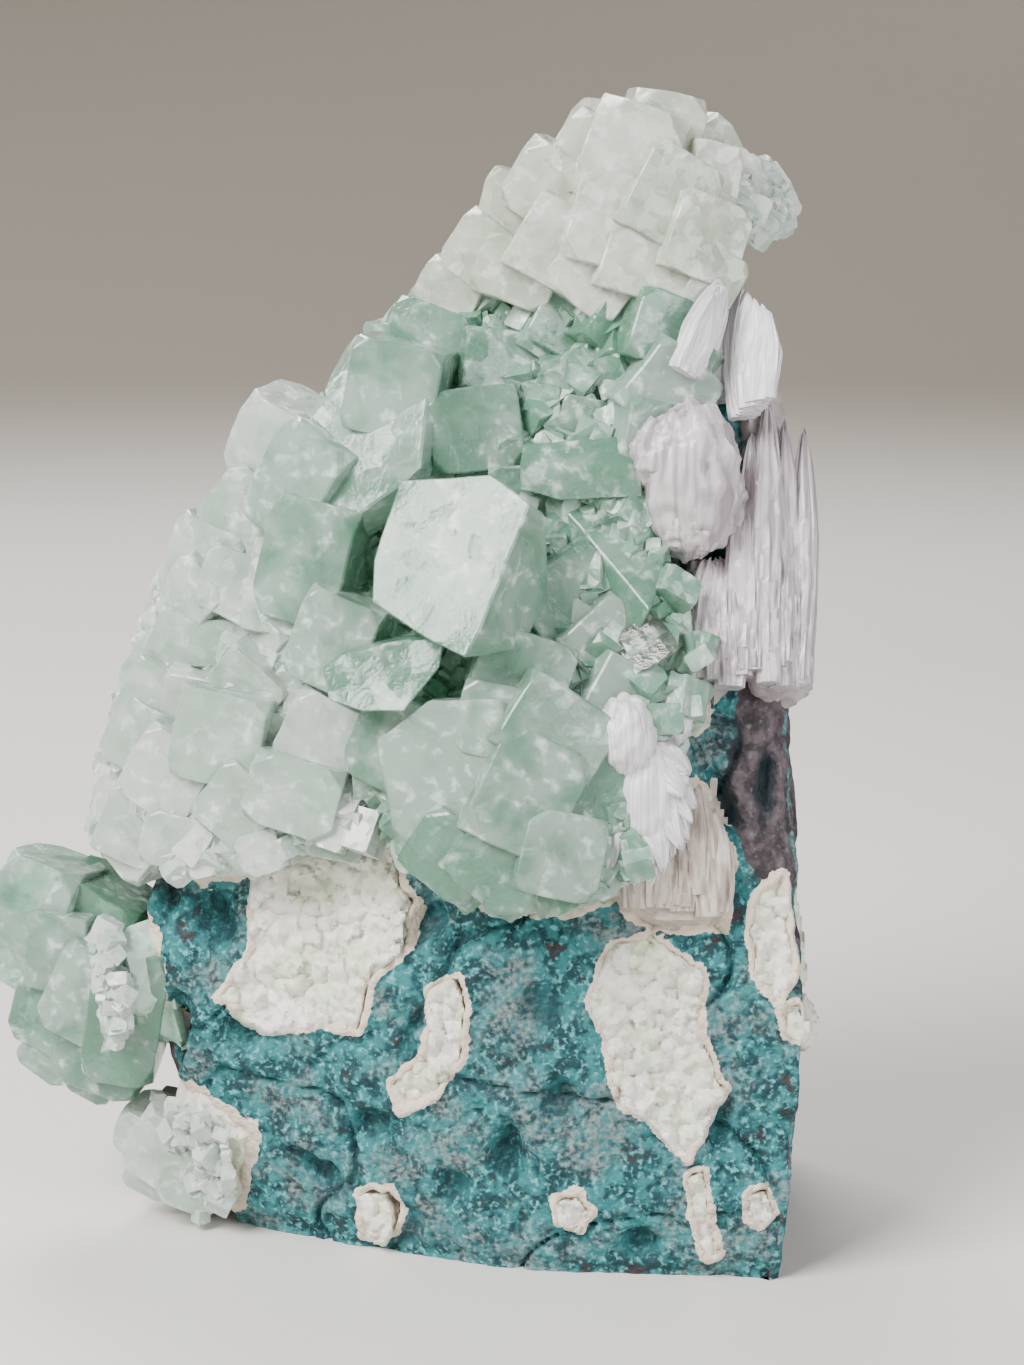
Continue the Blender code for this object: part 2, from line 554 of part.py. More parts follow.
def material(name, colour, rough, alpha_like=0.0):
    """Principled material in one plain colour."""
    mat = bpy.data.materials.new(name)
    mat.use_nodes = True
    shader = mat.node_tree.nodes["Principled BSDF"]
    shader.inputs["Base Color"].default_value = (*colour, 1.0)
    shader.inputs["Roughness"].default_value = rough
    shader.inputs["Transmission Weight"].default_value = alpha_like
    mat.diffuse_color = (*colour, 1.0)
    return mat


def finish(obj, mat):
    """Give a node its material, place it in the part's frame and scale it to metres."""
    obj.data.materials.clear()
    obj.data.materials.append(mat)
    for polygon in obj.data.polygons:
        polygon.material_index = 0
    obj.data.transform(Matrix.Scale(MM, 4) @ Matrix.Translation(RECENTRE))
    obj.data.update()
    return obj


def build():
    """Model every node of the cluster."""
    for obj in list(bpy.data.objects):
        bpy.data.objects.remove(obj)
    skin = 0.0

    def swept_floor():
        bm = bmesh.new()
        bmesh.ops.create_cube(bm, size=200.0)
        bmesh.ops.translate(bm, verts=bm.verts, vec=(0.0, 0.0, -99.8))
        return bm

    core_cut = lambda: new_object("core_cut", grown_core(skin))
    floor_cut = lambda: new_object("floor_cut", swept_floor())
    green_solids = lambda g: [coat(GREEN_AREA, 5.0, -60, 14, g)] + [crystal(c, g) for c in GREEN_CRYSTALS]
    pale_solids = lambda g: [coat(PALE_AREA, 4.1, -58, 18.9, g)] + [crystal(c, g) for c in pale_crystals()]
    summit_solids = lambda g: [coat(SUMMIT_AREA, 4.2, -60, 13, g)] + [crystal(c, g) for c in SUMMIT_CRYSTALS]
    outlier_solids = lambda g: [coat(OUTLIER_AREA, 2.5, -40, 12, g)] + [crystal(c, g) for c in OUTLIER_CRYSTALS]
    foot_solids = lambda g: [coat(FOOT_AREA, 1.0, -40, 6, g)] + [crystal(c, g) for c in FOOT_CRYSTALS]
    ball_solids = lambda g: [ball(690, 480, -11.0, 7.2, 2, g, (0.72, 0.8, 1.12), 0.12)]

    def grown(solids):
        return fused("grown", solids(GAP))

    nodes = {}
    nodes["stilbite_fan"] = clean(boolean(fused("stilbite_fan", fan()), [core_cut()], "DIFFERENCE"))
    nodes["apophyllite_crystals"] = clean(boolean(
        fused("apophyllite_crystals", green_solids(0.0)), [core_cut(), grown(fan)], "DIFFERENCE"))
    nodes["pale_druse"] = clean(boolean(fused("pale_druse", pale_solids(0.0)), [core_cut(), grown(green_solids)], "DIFFERENCE"))
    nodes["summit_crystals"] = clean(boolean(
        fused("summit_crystals", summit_solids(0.0)), [core_cut(), grown(green_solids), grown(pale_solids)], "DIFFERENCE"))
    nodes["outlier_crystals"] = clean(boolean(
        fused("outlier_crystals", outlier_solids(0.0)), [core_cut(), grown(pale_solids)], "DIFFERENCE"))
    nodes["foot_filling"] = clean(boolean(
        fused("foot_filling", foot_solids(0.0)), [core_cut(), floor_cut(), grown(outlier_solids)], "DIFFERENCE"))
    nodes["stilbite_blades"] = clean(boolean(
        fused("stilbite_blades", blades()), [core_cut(), grown(green_solids), grown(summit_solids)], "DIFFERENCE"))
    nodes["stilbite_ball"] = clean(boolean(
        fused("stilbite_ball", ball_solids(0.0)), [core_cut(), grown(green_solids), grown(blades)], "DIFFERENCE"))
    nodes["stilbite_crust"] = clean(boolean(
        fused("stilbite_crust", crust()),
        [core_cut(), grown(green_solids), grown(blades), grown(ball_solids), grown(fan)], "DIFFERENCE"))
    nodes["stilbite_ledge"] = clean(boolean(
        fused("stilbite_ledge", ledge()), [core_cut(), grown(green_solids), grown(fan), grown(crust)], "DIFFERENCE"))

    matrix = rock()
    cuts = []
    for name, (outline, sunk, thick) in FILLINGS.items():
        piece, pocket = filled_pocket(name, outline, sunk, thick, face_depth)
        nodes[name] = clean(piece, flat=0.05)
        cuts.append(pocket)
    for i, (across, down, back, wide, deep, high, roll) in enumerate(PITS):
        bm = bmesh.new()
        bmesh.ops.create_uvsphere(bm, u_segments=7, v_segments=5, radius=0.5)
        turn = Matrix.Rotation(math.radians(roll), 4, "Y") @ Matrix.Diagonal((wide, deep, high, 1.0))
        bmesh.ops.transform(bm, matrix=Matrix.Translation(at(across, down, back)) @ turn, verts=bm.verts)
        cuts.append(new_object(f"pit_{i}", bm))
    boolean(matrix, cuts, "DIFFERENCE")
    nodes["basalt_matrix"] = clean(matrix, merge=0.05, flat=3.0)

    looks = {
        "basalt_matrix": material("basalt", (0.075, 0.16, 0.165), 0.85),
        "apophyllite_crystals": material("apophyllite", (0.36, 0.58, 0.47), 0.15, 0.3),
        "outlier_crystals": material("apophyllite_outlier", (0.42, 0.62, 0.51), 0.2, 0.3),
        "pale_druse": material("pale_druse", (0.62, 0.70, 0.66), 0.35, 0.15),
        "summit_crystals": material("summit", (0.68, 0.72, 0.66), 0.35, 0.15),
        "stilbite": material("stilbite", (0.74, 0.71, 0.73), 0.4),
        "crust": material("crust", (0.46, 0.40, 0.42), 0.35),
        "filling": material("filling", (0.66, 0.65, 0.60), 0.6),
    }
    for name, obj in nodes.items():
        obj.name = name
        key = name if name in looks else "filling"
        if name.startswith("stilbite"):
            key = "crust" if name in ("stilbite_crust", "stilbite_ledge") else "stilbite"
        finish(obj, looks[key])


CORE_TREE = core_tree()
build()
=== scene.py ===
"""Apophyllite cluster on a wedge of basalt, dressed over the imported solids."""
import itertools
import logging
import math
from dataclasses import dataclass, field
from enum import Enum

import bmesh
import bpy
import numpy as np
from mathutils import Euler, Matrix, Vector


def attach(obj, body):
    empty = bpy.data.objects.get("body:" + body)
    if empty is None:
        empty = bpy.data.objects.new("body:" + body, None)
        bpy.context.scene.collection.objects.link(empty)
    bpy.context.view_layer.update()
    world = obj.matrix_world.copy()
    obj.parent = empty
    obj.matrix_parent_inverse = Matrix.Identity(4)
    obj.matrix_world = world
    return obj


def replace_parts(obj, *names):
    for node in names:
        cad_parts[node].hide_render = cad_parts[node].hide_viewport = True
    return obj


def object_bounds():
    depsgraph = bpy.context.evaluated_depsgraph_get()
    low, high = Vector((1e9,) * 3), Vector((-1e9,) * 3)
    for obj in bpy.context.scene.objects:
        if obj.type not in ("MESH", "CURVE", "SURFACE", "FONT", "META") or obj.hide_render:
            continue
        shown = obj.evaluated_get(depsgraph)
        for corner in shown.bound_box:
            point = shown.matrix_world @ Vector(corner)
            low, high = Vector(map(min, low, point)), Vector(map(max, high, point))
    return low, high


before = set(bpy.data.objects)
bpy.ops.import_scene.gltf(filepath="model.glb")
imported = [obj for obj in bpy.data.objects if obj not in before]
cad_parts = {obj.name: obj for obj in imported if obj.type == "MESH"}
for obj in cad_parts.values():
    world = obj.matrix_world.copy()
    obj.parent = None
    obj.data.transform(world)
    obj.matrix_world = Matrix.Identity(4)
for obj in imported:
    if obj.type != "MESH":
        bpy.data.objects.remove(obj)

CAD_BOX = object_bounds()
LOG = logging.getLogger("cluster")

MM = 0.001
RECENTRE = np.array((2.34, 3.2, 0.0))
INSET = 0.03

CORE_CORNERS = (
    (37.4, -22.4, -4.0), (9.0, -19.6, -4.0), (-18.6, -5.8, -4.0), (-19.6, 20.0, -4.0), (36.4, 22.0, -4.0),
    (39.4, -21.8, 30.0), (9.0, -20.8, 34.0), (-28.8, -7.8, 27.0), (-29.6, 18.0, 26.0), (40.4, 22.0, 30.0),
    (40.8, -4.0, 36.0), (-27.4, -4.8, 42.0), (-28.4, 16.0, 42.0),
    (33.8, -14.2, 60.0), (38.9, 2.0, 60.0), (-20.2, 2.0, 63.0), (-21.4, 19.0, 62.0),
    (35.0, -4.0, 86.0), (37.4, 6.0, 86.0), (37.4, 20.0, 84.0), (0.0, 6.5, 86.0), (-0.6, 19.0, 84.0),
    (25.0, 3.5, 106.0), (31.5, 8.0, 105.0), (30.0, 17.0, 104.0), (19.4, 9.0, 104.5),
)

# Outlines on the front sketch, in tenths of a millimetre across and down.
GREEN_AREA = (
    (300, 372), (350, 318), (440, 306), (560, 300), (640, 292), (700, 318), (712, 372), (668, 412), (652, 470),
    (666, 560), (706, 640), (700, 720), (640, 740), (640, 880), (560, 912), (480, 900), (404, 846), (366, 778),
    (300, 690), (262, 560), (258, 440),
)
PALE_AREA = (
    (258, 430), (262, 560), (300, 690), (366, 778), (392, 842), (330, 842), (256, 862), (196, 872), (150, 842),
    (60, 870), (60, 600), (180, 430),
)
CRUST_AREA = (
    (742, 398), (770, 380), (811, 380), (811, 700), (760, 690), (735, 662), (716, 700), (690, 660), (690, 560),
    (742, 556),
)
LEDGE_AREA = ((650, 800), (700, 790), (724, 850), (722, 922), (668, 926), (630, 912), (626, 880))
FAN_AREA = ((612, 730), (680, 720), (690, 800), (660, 860), (600, 850))
OUTLIER_AREA = ((100, 905), (140, 930), (146, 985), (150, 1040), (140, 1076), (60, 1076), (60, 905))
FOOT_AREA = ((150, 1086), (200, 1104), (240, 1140), (232, 1206), (60, 1206), (60, 1086))
SUMMIT_AREA = (
    (420, 306), (560, 296), (640, 288), (700, 296), (722, 262), (742, 236), (720, 130), (660, 40), (560, 60),
    (400, 200), (330, 310),
)
BARE_AREA = (
    (742, 676), (772, 664), (824, 690), (836, 1010), (812, 1004), (806, 900), (786, 868), (764, 884), (744, 850),
    (722, 800), (738, 740),
)
FILLINGS = {
    "filling_upper_left": (
        (252, 868), (330, 846), (386, 852), (406, 905), (396, 950), (366, 985), (352, 1034), (318, 1024),
        (276, 1034), (216, 1000), (250, 950)),
    "filling_right": (
        (612, 950), (650, 938), (698, 972), (700, 1040), (722, 1092), (688, 1162), (652, 1124), (622, 1104),
        (606, 1040), (592, 1004)),
    "filling_right_edge": ((760, 892), (786, 876), (792, 930), (798, 972), (780, 1000), (757, 975), (752, 930)),
    "filling_hook": (
        (424, 992), (452, 984), (462, 1010), (456, 1058), (432, 1096), (400, 1112), (390, 1088), (420, 1062),
        (430, 1030)),
    "filling_sliver": ((690, 1180), (702, 1176), (708, 1220), (719, 1256), (706, 1260), (694, 1222)),
    "filling_low_left": ((358, 1198), (384, 1196), (392, 1220), (384, 1240), (362, 1236)),
    "filling_low_middle": ((556, 1206), (576, 1198), (590, 1216), (578, 1230), (558, 1226)),
    "filling_low_right": ((750, 1198), (762, 1194), (772, 1216), (762, 1230), (750, 1220)),
    "filling_right_small": ((786, 1012), (800, 1006), (810, 1026), (800, 1042), (786, 1034)),
}
# Pits of the front face: across, down, wide, high (mm), roll, depth (mm).
PITS = (
    (505, 1160, 5.0, 8.4, 8, 2.2), (232, 1036, 6.2, 5.4, 0, 2.0), (163, 1040, 4.4, 11.0, 8, 3.0),
    (420, 925, 4.8, 7.4, 30, 2.2), (560, 1105, 6.0, 5.0, -20, 1.4), (310, 1175, 8.4, 3.4, 38, 2.0),
    (720, 1130, 3.8, 7.4, 10, 1.6), (640, 1250, 6.4, 4.4, 0, 1.6), (205, 915, 5.4, 9.0, -20, 1.6),
    (772, 780, 3.8, 9.4, 5, 2.4), (724, 800, 3.4, 9.4, -25, 2.2), (370, 1130, 6.4, 4.4, 20, 1.4),
    (540, 1010, 5.4, 6.8, -30, 1.2), (450, 1190, 5.0, 4.8, 0, 1.4), (150, 880, 3.4, 9.0, -12, 2.6),
)


def srgb(red: int, green: int, blue: int) -> tuple[float, float, float]:
    """Linear colour of a display colour.

    Args:
        red, green, blue: channels from 0 to 255, judged.

    Returns:
        The three linear channels.
    """
    parts = (c / 255.0 for c in (red, green, blue))
    return tuple(c / 12.92 if c < 0.04045 else ((c + 0.055) / 1.055) ** 2.4 for c in parts)


def smooth(low: float, high: float, value: np.ndarray) -> np.ndarray:
    """Soft step from 0 at low to 1 at high.

    Args:
        low: value where the step starts.
        high: value where it ends.
        value: numbers to step.

    Returns:
        Cubic ease of the clamped fraction.
    """
    t = np.clip((value - low) / (high - low), 0.0, 1.0)
    return t * t * (3.0 - 2.0 * t)


@dataclass(frozen=True)
class Sketch:
    """Front sketch of the cluster: places across and down are seen from one raised viewpoint."""

    target: tuple[float, float, float] = (9.9, 0.0, 54.9)
    centre: tuple[float, float] = (512.0, 682.5)
    distance: float = 290.0
    tilt: float = math.radians(10.0)

    @property
    def forward(self) -> np.ndarray:
        """Unit direction of sight."""
        return np.array((0.0, math.cos(self.tilt), -math.sin(self.tilt)))

    @property
    def up(self) -> np.ndarray:
        """Unit direction that runs up the sketch."""
        return np.array((0.0, math.sin(self.tilt), math.cos(self.tilt)))

    @property
    def eye(self) -> np.ndarray:
        """Viewpoint in millimetres."""
        return np.array(self.target) - self.distance * self.forward

    def rays(self, across: np.ndarray, down: np.ndarray) -> np.ndarray:
        """Sight directions: forward times the distance, plus the place's offset across and up.

        Args:
            across: places across the sketch.
            down: places down the sketch.

        Returns:
            Directions, not unit, with one more axis of three.
        """
        across, down = np.broadcast_arrays(np.asarray(across, float), np.asarray(down, float))
        side = np.array((1.0, 0.0, 0.0)) * ((across - self.centre[0]) / 10.0)[..., None]
        rise = self.up * ((self.centre[1] - down) / 10.0)[..., None]
        return self.forward * self.distance + side + rise

    def at(self, across: np.ndarray, down: np.ndarray, back: np.ndarray) -> np.ndarray:
        """Points seen at places of the sketch, at a depth along Y.

        Args:
            across: places across.
            down: places down.
            back: depths in millimetres.

        Returns:
            Points in millimetres.
        """
        ray = self.rays(across, down)
        return self.eye + ray * ((np.asarray(back, float) - self.eye[1]) / ray[..., 1])[..., None]

    def seen(self, points: np.ndarray) -> tuple[np.ndarray, np.ndarray]:
        """Places of the sketch where points are seen.

        Args:
            points: array of points in millimetres.

        Returns:
            Places across and down.
        """
        rel = points - self.eye
        scale = self.distance / (rel @ self.forward)
        return self.centre[0] + 10.0 * rel[..., 0] * scale, self.centre[1] - 10.0 * (rel @ self.up) * scale


SKETCH = Sketch()


def outside(across: np.ndarray, down: np.ndarray, outline: tuple[tuple[int, int], ...]) -> np.ndarray:
    """Distance from an outline: the nearest point of each side, negative where a level line crosses it oddly.

    Args:
        across: places across.
        down: places down.
        outline: corners of the outline.

    Returns:
        Distances in sketch units, negative inside.
    """
    place = np.stack([across, down], axis=-1)[..., None, :]
    a = np.array(outline, float)
    b = np.roll(a, -1, axis=0)
    side = b - a
    t = np.clip(((place - a) * side).sum(-1) / (side * side).sum(-1), 0.0, 1.0)
    gap = np.sqrt(((place - a - t[..., None] * side) ** 2).sum(-1)).min(-1)
    rise = np.where(np.abs(side[:, 1]) < 1e-9, 1e-9, side[:, 1])
    cross = ((a[:, 1] > place[..., 1]) != (b[:, 1] > place[..., 1])) & (
        place[..., 0] < side[:, 0] * (place[..., 1] - a[:, 1]) / rise + a[:, 0])
    return np.where(cross.sum(-1) % 2 == 1, -gap, gap)


class Grain:
    """Seeded noise in space, worked out on whole arrays."""

    def __init__(self, seed: int) -> None:
        """Shuffle the lattice table and the directions and cell places that go with it.

        Args:
            seed: number that fixes the pattern.
        """
        rng = np.random.default_rng(seed)
        self.table = np.concatenate([rng.permutation(256)] * 2)
        lean = rng.normal(size=(256, 3))
        self.lean = lean / np.linalg.norm(lean, axis=1)[:, None]
        self.place = rng.random((256, 3))
        self.rng = rng

    def key(self, cell: np.ndarray) -> np.ndarray:
        """Table entry of whole-number cells."""
        c = cell & 255
        return self.table[self.table[self.table[c[..., 0]] + c[..., 1]] + c[..., 2]]

    def soft(self, points: np.ndarray) -> np.ndarray:
        """Gradient noise: lattice slopes blended by a fifth-degree ease.

        Args:
            points: places, one lattice cell per unit.

        Returns:
            Values from about -1 to 1.
        """
        cell = np.floor(points).astype(np.int64)
        f = points - cell
        ease = f * f * f * (f * (f * 6.0 - 15.0) + 10.0)
        total = np.zeros(points.shape[:-1])
        for corner in itertools.product((0, 1), repeat=3):
            c = np.array(corner)
            slope = self.lean[self.key(cell + c)]
            total += (slope * (f - c)).sum(-1) * np.prod(np.where(c == 1, ease, 1.0 - ease), axis=-1)
        return total * 1.6

    def layered(self, points: np.ndarray, layers: int = 3, fade: float = 0.5) -> np.ndarray:
        """Sum of noises, each twice as fine and fade times as strong as the one before.

        Args:
            points: places, one lattice cell per unit.
            layers: number of noises.
            fade: strength ratio.

        Returns:
            Values from about -1 to 1.
        """
        total = np.zeros(points.shape[:-1])
        for i in range(layers):
            total += self.soft(points * 2.0 ** i + 17.3 * i) * fade ** i
        return total

    def cells(self, points: np.ndarray) -> tuple[np.ndarray, np.ndarray]:
        """Distance to the nearest of one random seed point per cell, and that seed's number.

        Args:
            points: places, one cell per unit.

        Returns:
            Distances, and random numbers from 0 to 1 that belong to the nearest seed.
        """
        cell = np.floor(points).astype(np.int64)
        best = np.full(points.shape[:-1], 9.0)
        owner = np.zeros(points.shape[:-1])
        for step in itertools.product((-1, 0, 1), repeat=3):
            c = cell + np.array(step)
            k = self.key(c)
            gap = np.linalg.norm(points - c - self.place[k], axis=-1)
            near = gap < best
            best = np.where(near, gap, best)
            owner = np.where(near, k / 255.0, owner)
        return best, owner


GRAIN = Grain(41)


def merged_hull(points: np.ndarray, bevel: float = 0.0) -> bmesh.types.BMesh:
    """Convex solid around points with its flat faces joined and its edges chamfered.

    Args:
        points: corners in millimetres.
        bevel: width of the chamfer, none at 0.

    Returns:
        A closed bmesh.
    """
    bm = bmesh.new()
    for point in points:
        bm.verts.new(point)
    made = bmesh.ops.convex_hull(bm, input=bm.verts)
    spare = {v for v in made["geom_interior"] + made["geom_unused"] if isinstance(v, bmesh.types.BMVert)}
    bmesh.ops.delete(bm, geom=list(spare), context="VERTS")
    bmesh.ops.dissolve_limit(bm, angle_limit=math.radians(1.0), verts=bm.verts, edges=bm.edges)
    bmesh.ops.recalc_face_normals(bm, faces=bm.faces)
    if bevel > 0.0:
        bmesh.ops.bevel(bm, geom=bm.edges[:], offset=bevel, segments=1, affect="EDGES", clamp_overlap=True)
    return bm


def core_planes() -> tuple[np.ndarray, np.ndarray]:
    """Outward normals and distances of the basalt wedge's plain faces."""
    bm = merged_hull(np.array(CORE_CORNERS))
    bm.normal_update()
    normals = np.array([f.normal for f in bm.faces])
    dists = np.array([f.normal.dot(f.verts[0].co) for f in bm.faces])
    bm.free()
    return normals, dists


CORE_NORMALS, CORE_DISTS = core_planes()


def core_reach(origin: np.ndarray, way: np.ndarray, grow: float = 0.0, round_off: float = 1.1) -> np.ndarray:
    """Distance from inside the wedge to its surface.

    A blended least of the distances to all its planes, which rounds the edges.

    Args:
        origin: points inside.
        way: unit directions.
        grow: how far the planes are moved outwards.
        round_off: sharpness of the blend per millimetre.

    Returns:
        Distances in millimetres.
    """
    slope = way @ CORE_NORMALS.T
    room = CORE_DISTS + grow - origin @ CORE_NORMALS.T
    reach = np.where(slope > 1e-3, room / np.maximum(slope, 1e-3), 1e3)
    least = reach.min(-1)
    return least - np.log(np.exp(-round_off * np.minimum(reach - least[..., None], 60.0)).sum(-1)) / round_off


def core_depth(across: np.ndarray, down: np.ndarray, grow: float = 0.0) -> np.ndarray:
    """Depth along Y at which sight lines enter the wedge: the furthest of the facing planes.

    Args:
        across: places across.
        down: places down.
        grow: how far the planes are moved outwards.

    Returns:
        Depths in millimetres.
    """
    ray = SKETCH.rays(across, down)
    slope = ray @ CORE_NORMALS.T
    room = CORE_DISTS + grow - CORE_NORMALS @ SKETCH.eye
    enter = np.where(slope < -1e-6, room / np.minimum(slope, -1e-6), -1e3).max(-1)
    return SKETCH.eye[1] + ray[..., 1] * enter


# --- mesh helpers ---------------------------------------------------------------------------


def make_piece(name: str, verts: np.ndarray, faces: list, finish: "Finish", tags: dict[str, np.ndarray] | None = None,
               crease: float | None = None, uv: np.ndarray | None = None) -> bpy.types.Object:
    """Put points and faces into a piece that rides on the cluster.

    Args:
        name: name of the piece.
        verts: points in millimetres of the sketch frame.
        faces: corner numbers of each face.
        finish: what the piece is dressed in.
        tags: point attributes by name.
        crease: angle in degrees above which an edge is sharp; smooth all over if None, flat if 0.
        uv: place of every point on the piece's own map.

    Returns:
        The new object.
    """
    low = np.array(CAD_BOX[0]) / MM + INSET
    high = np.array(CAD_BOX[1]) / MM - INSET
    low[2] = max(low[2], 0.0)
    placed = np.clip(verts + RECENTRE, low, high) * MM
    mesh = bpy.data.meshes.new(name)
    mesh.from_pydata(placed.tolist(), [], faces if isinstance(faces, list) else faces.tolist())
    mesh.polygons.foreach_set("use_smooth", [crease != 0.0] * len(mesh.polygons))
    if crease:
        mesh.set_sharp_from_angle(angle=math.radians(crease))
    for tag, values in (tags or {}).items():
        mesh.attributes.new(tag, "FLOAT", "POINT").data.foreach_set("value", np.ascontiguousarray(values, np.float32))
    if uv is not None:
        layer = mesh.uv_layers.new(name="fibre")
        corner = np.empty(len(mesh.loops), np.int32)
        mesh.loops.foreach_get("vertex_index", corner)
        layer.data.foreach_set("uv", uv[corner].astype(np.float32).ravel())
    mesh.update()
    obj = bpy.data.objects.new(name, mesh)
    bpy.context.scene.collection.objects.link(obj)
    obj.data.materials.append(finish.material())
    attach(obj, "root")
    triangles = sum(len(f) - 2 for f in faces) if isinstance(faces, list) else len(faces) * (faces.shape[1] - 2)
    LOG.info("%s: %d triangles", name, triangles)
    return obj


def grid_faces(rows: int, columns: int, loop: bool = False) -> np.ndarray:
    """Corner numbers of the quads of a grid of points.

    Args:
        rows: points along the first axis.
        columns: points along the second axis.
        loop: whether the last column joins the first.

    Returns:
        Array of quads.
    """
    i, j = np.meshgrid(np.arange(rows - 1), np.arange(columns if loop else columns - 1), indexing="ij")
    k = (j + 1) % columns
    return np.stack([i * columns + j, i * columns + k, (i + 1) * columns + k, (i + 1) * columns + j], -1).reshape(-1, 4)


def walled(verts: np.ndarray, faces: np.ndarray, inward: np.ndarray) -> tuple[np.ndarray, np.ndarray]:
    """Close an open sheet of quads with a second sheet moved inwards and a wall round the border.

    Args:
        verts: points of the sheet.
        faces: quads.
        inward: move of each point for the second sheet.

    Returns:
        Points and quads of the closed shell.
    """
    used, flat = np.unique(faces, return_inverse=True)
    quads = flat.reshape(faces.shape)
    count = len(used)
    points = np.concatenate([verts[used], verts[used] + inward[used]])
    ends = np.stack([quads, np.roll(quads, -1, axis=1)], -1).reshape(-1, 2)
    code = ends.min(1) * count + ends.max(1)
    _, first, times = np.unique(code, return_index=True, return_counts=True)
    rim = ends[first[times == 1]]
    wall = np.stack([rim[:, 1], rim[:, 0], rim[:, 0] + count, rim[:, 1] + count], -1)
    return points, np.concatenate([quads, quads[:, ::-1] + count, wall])


# --- finishes -------------------------------------------------------------------------------


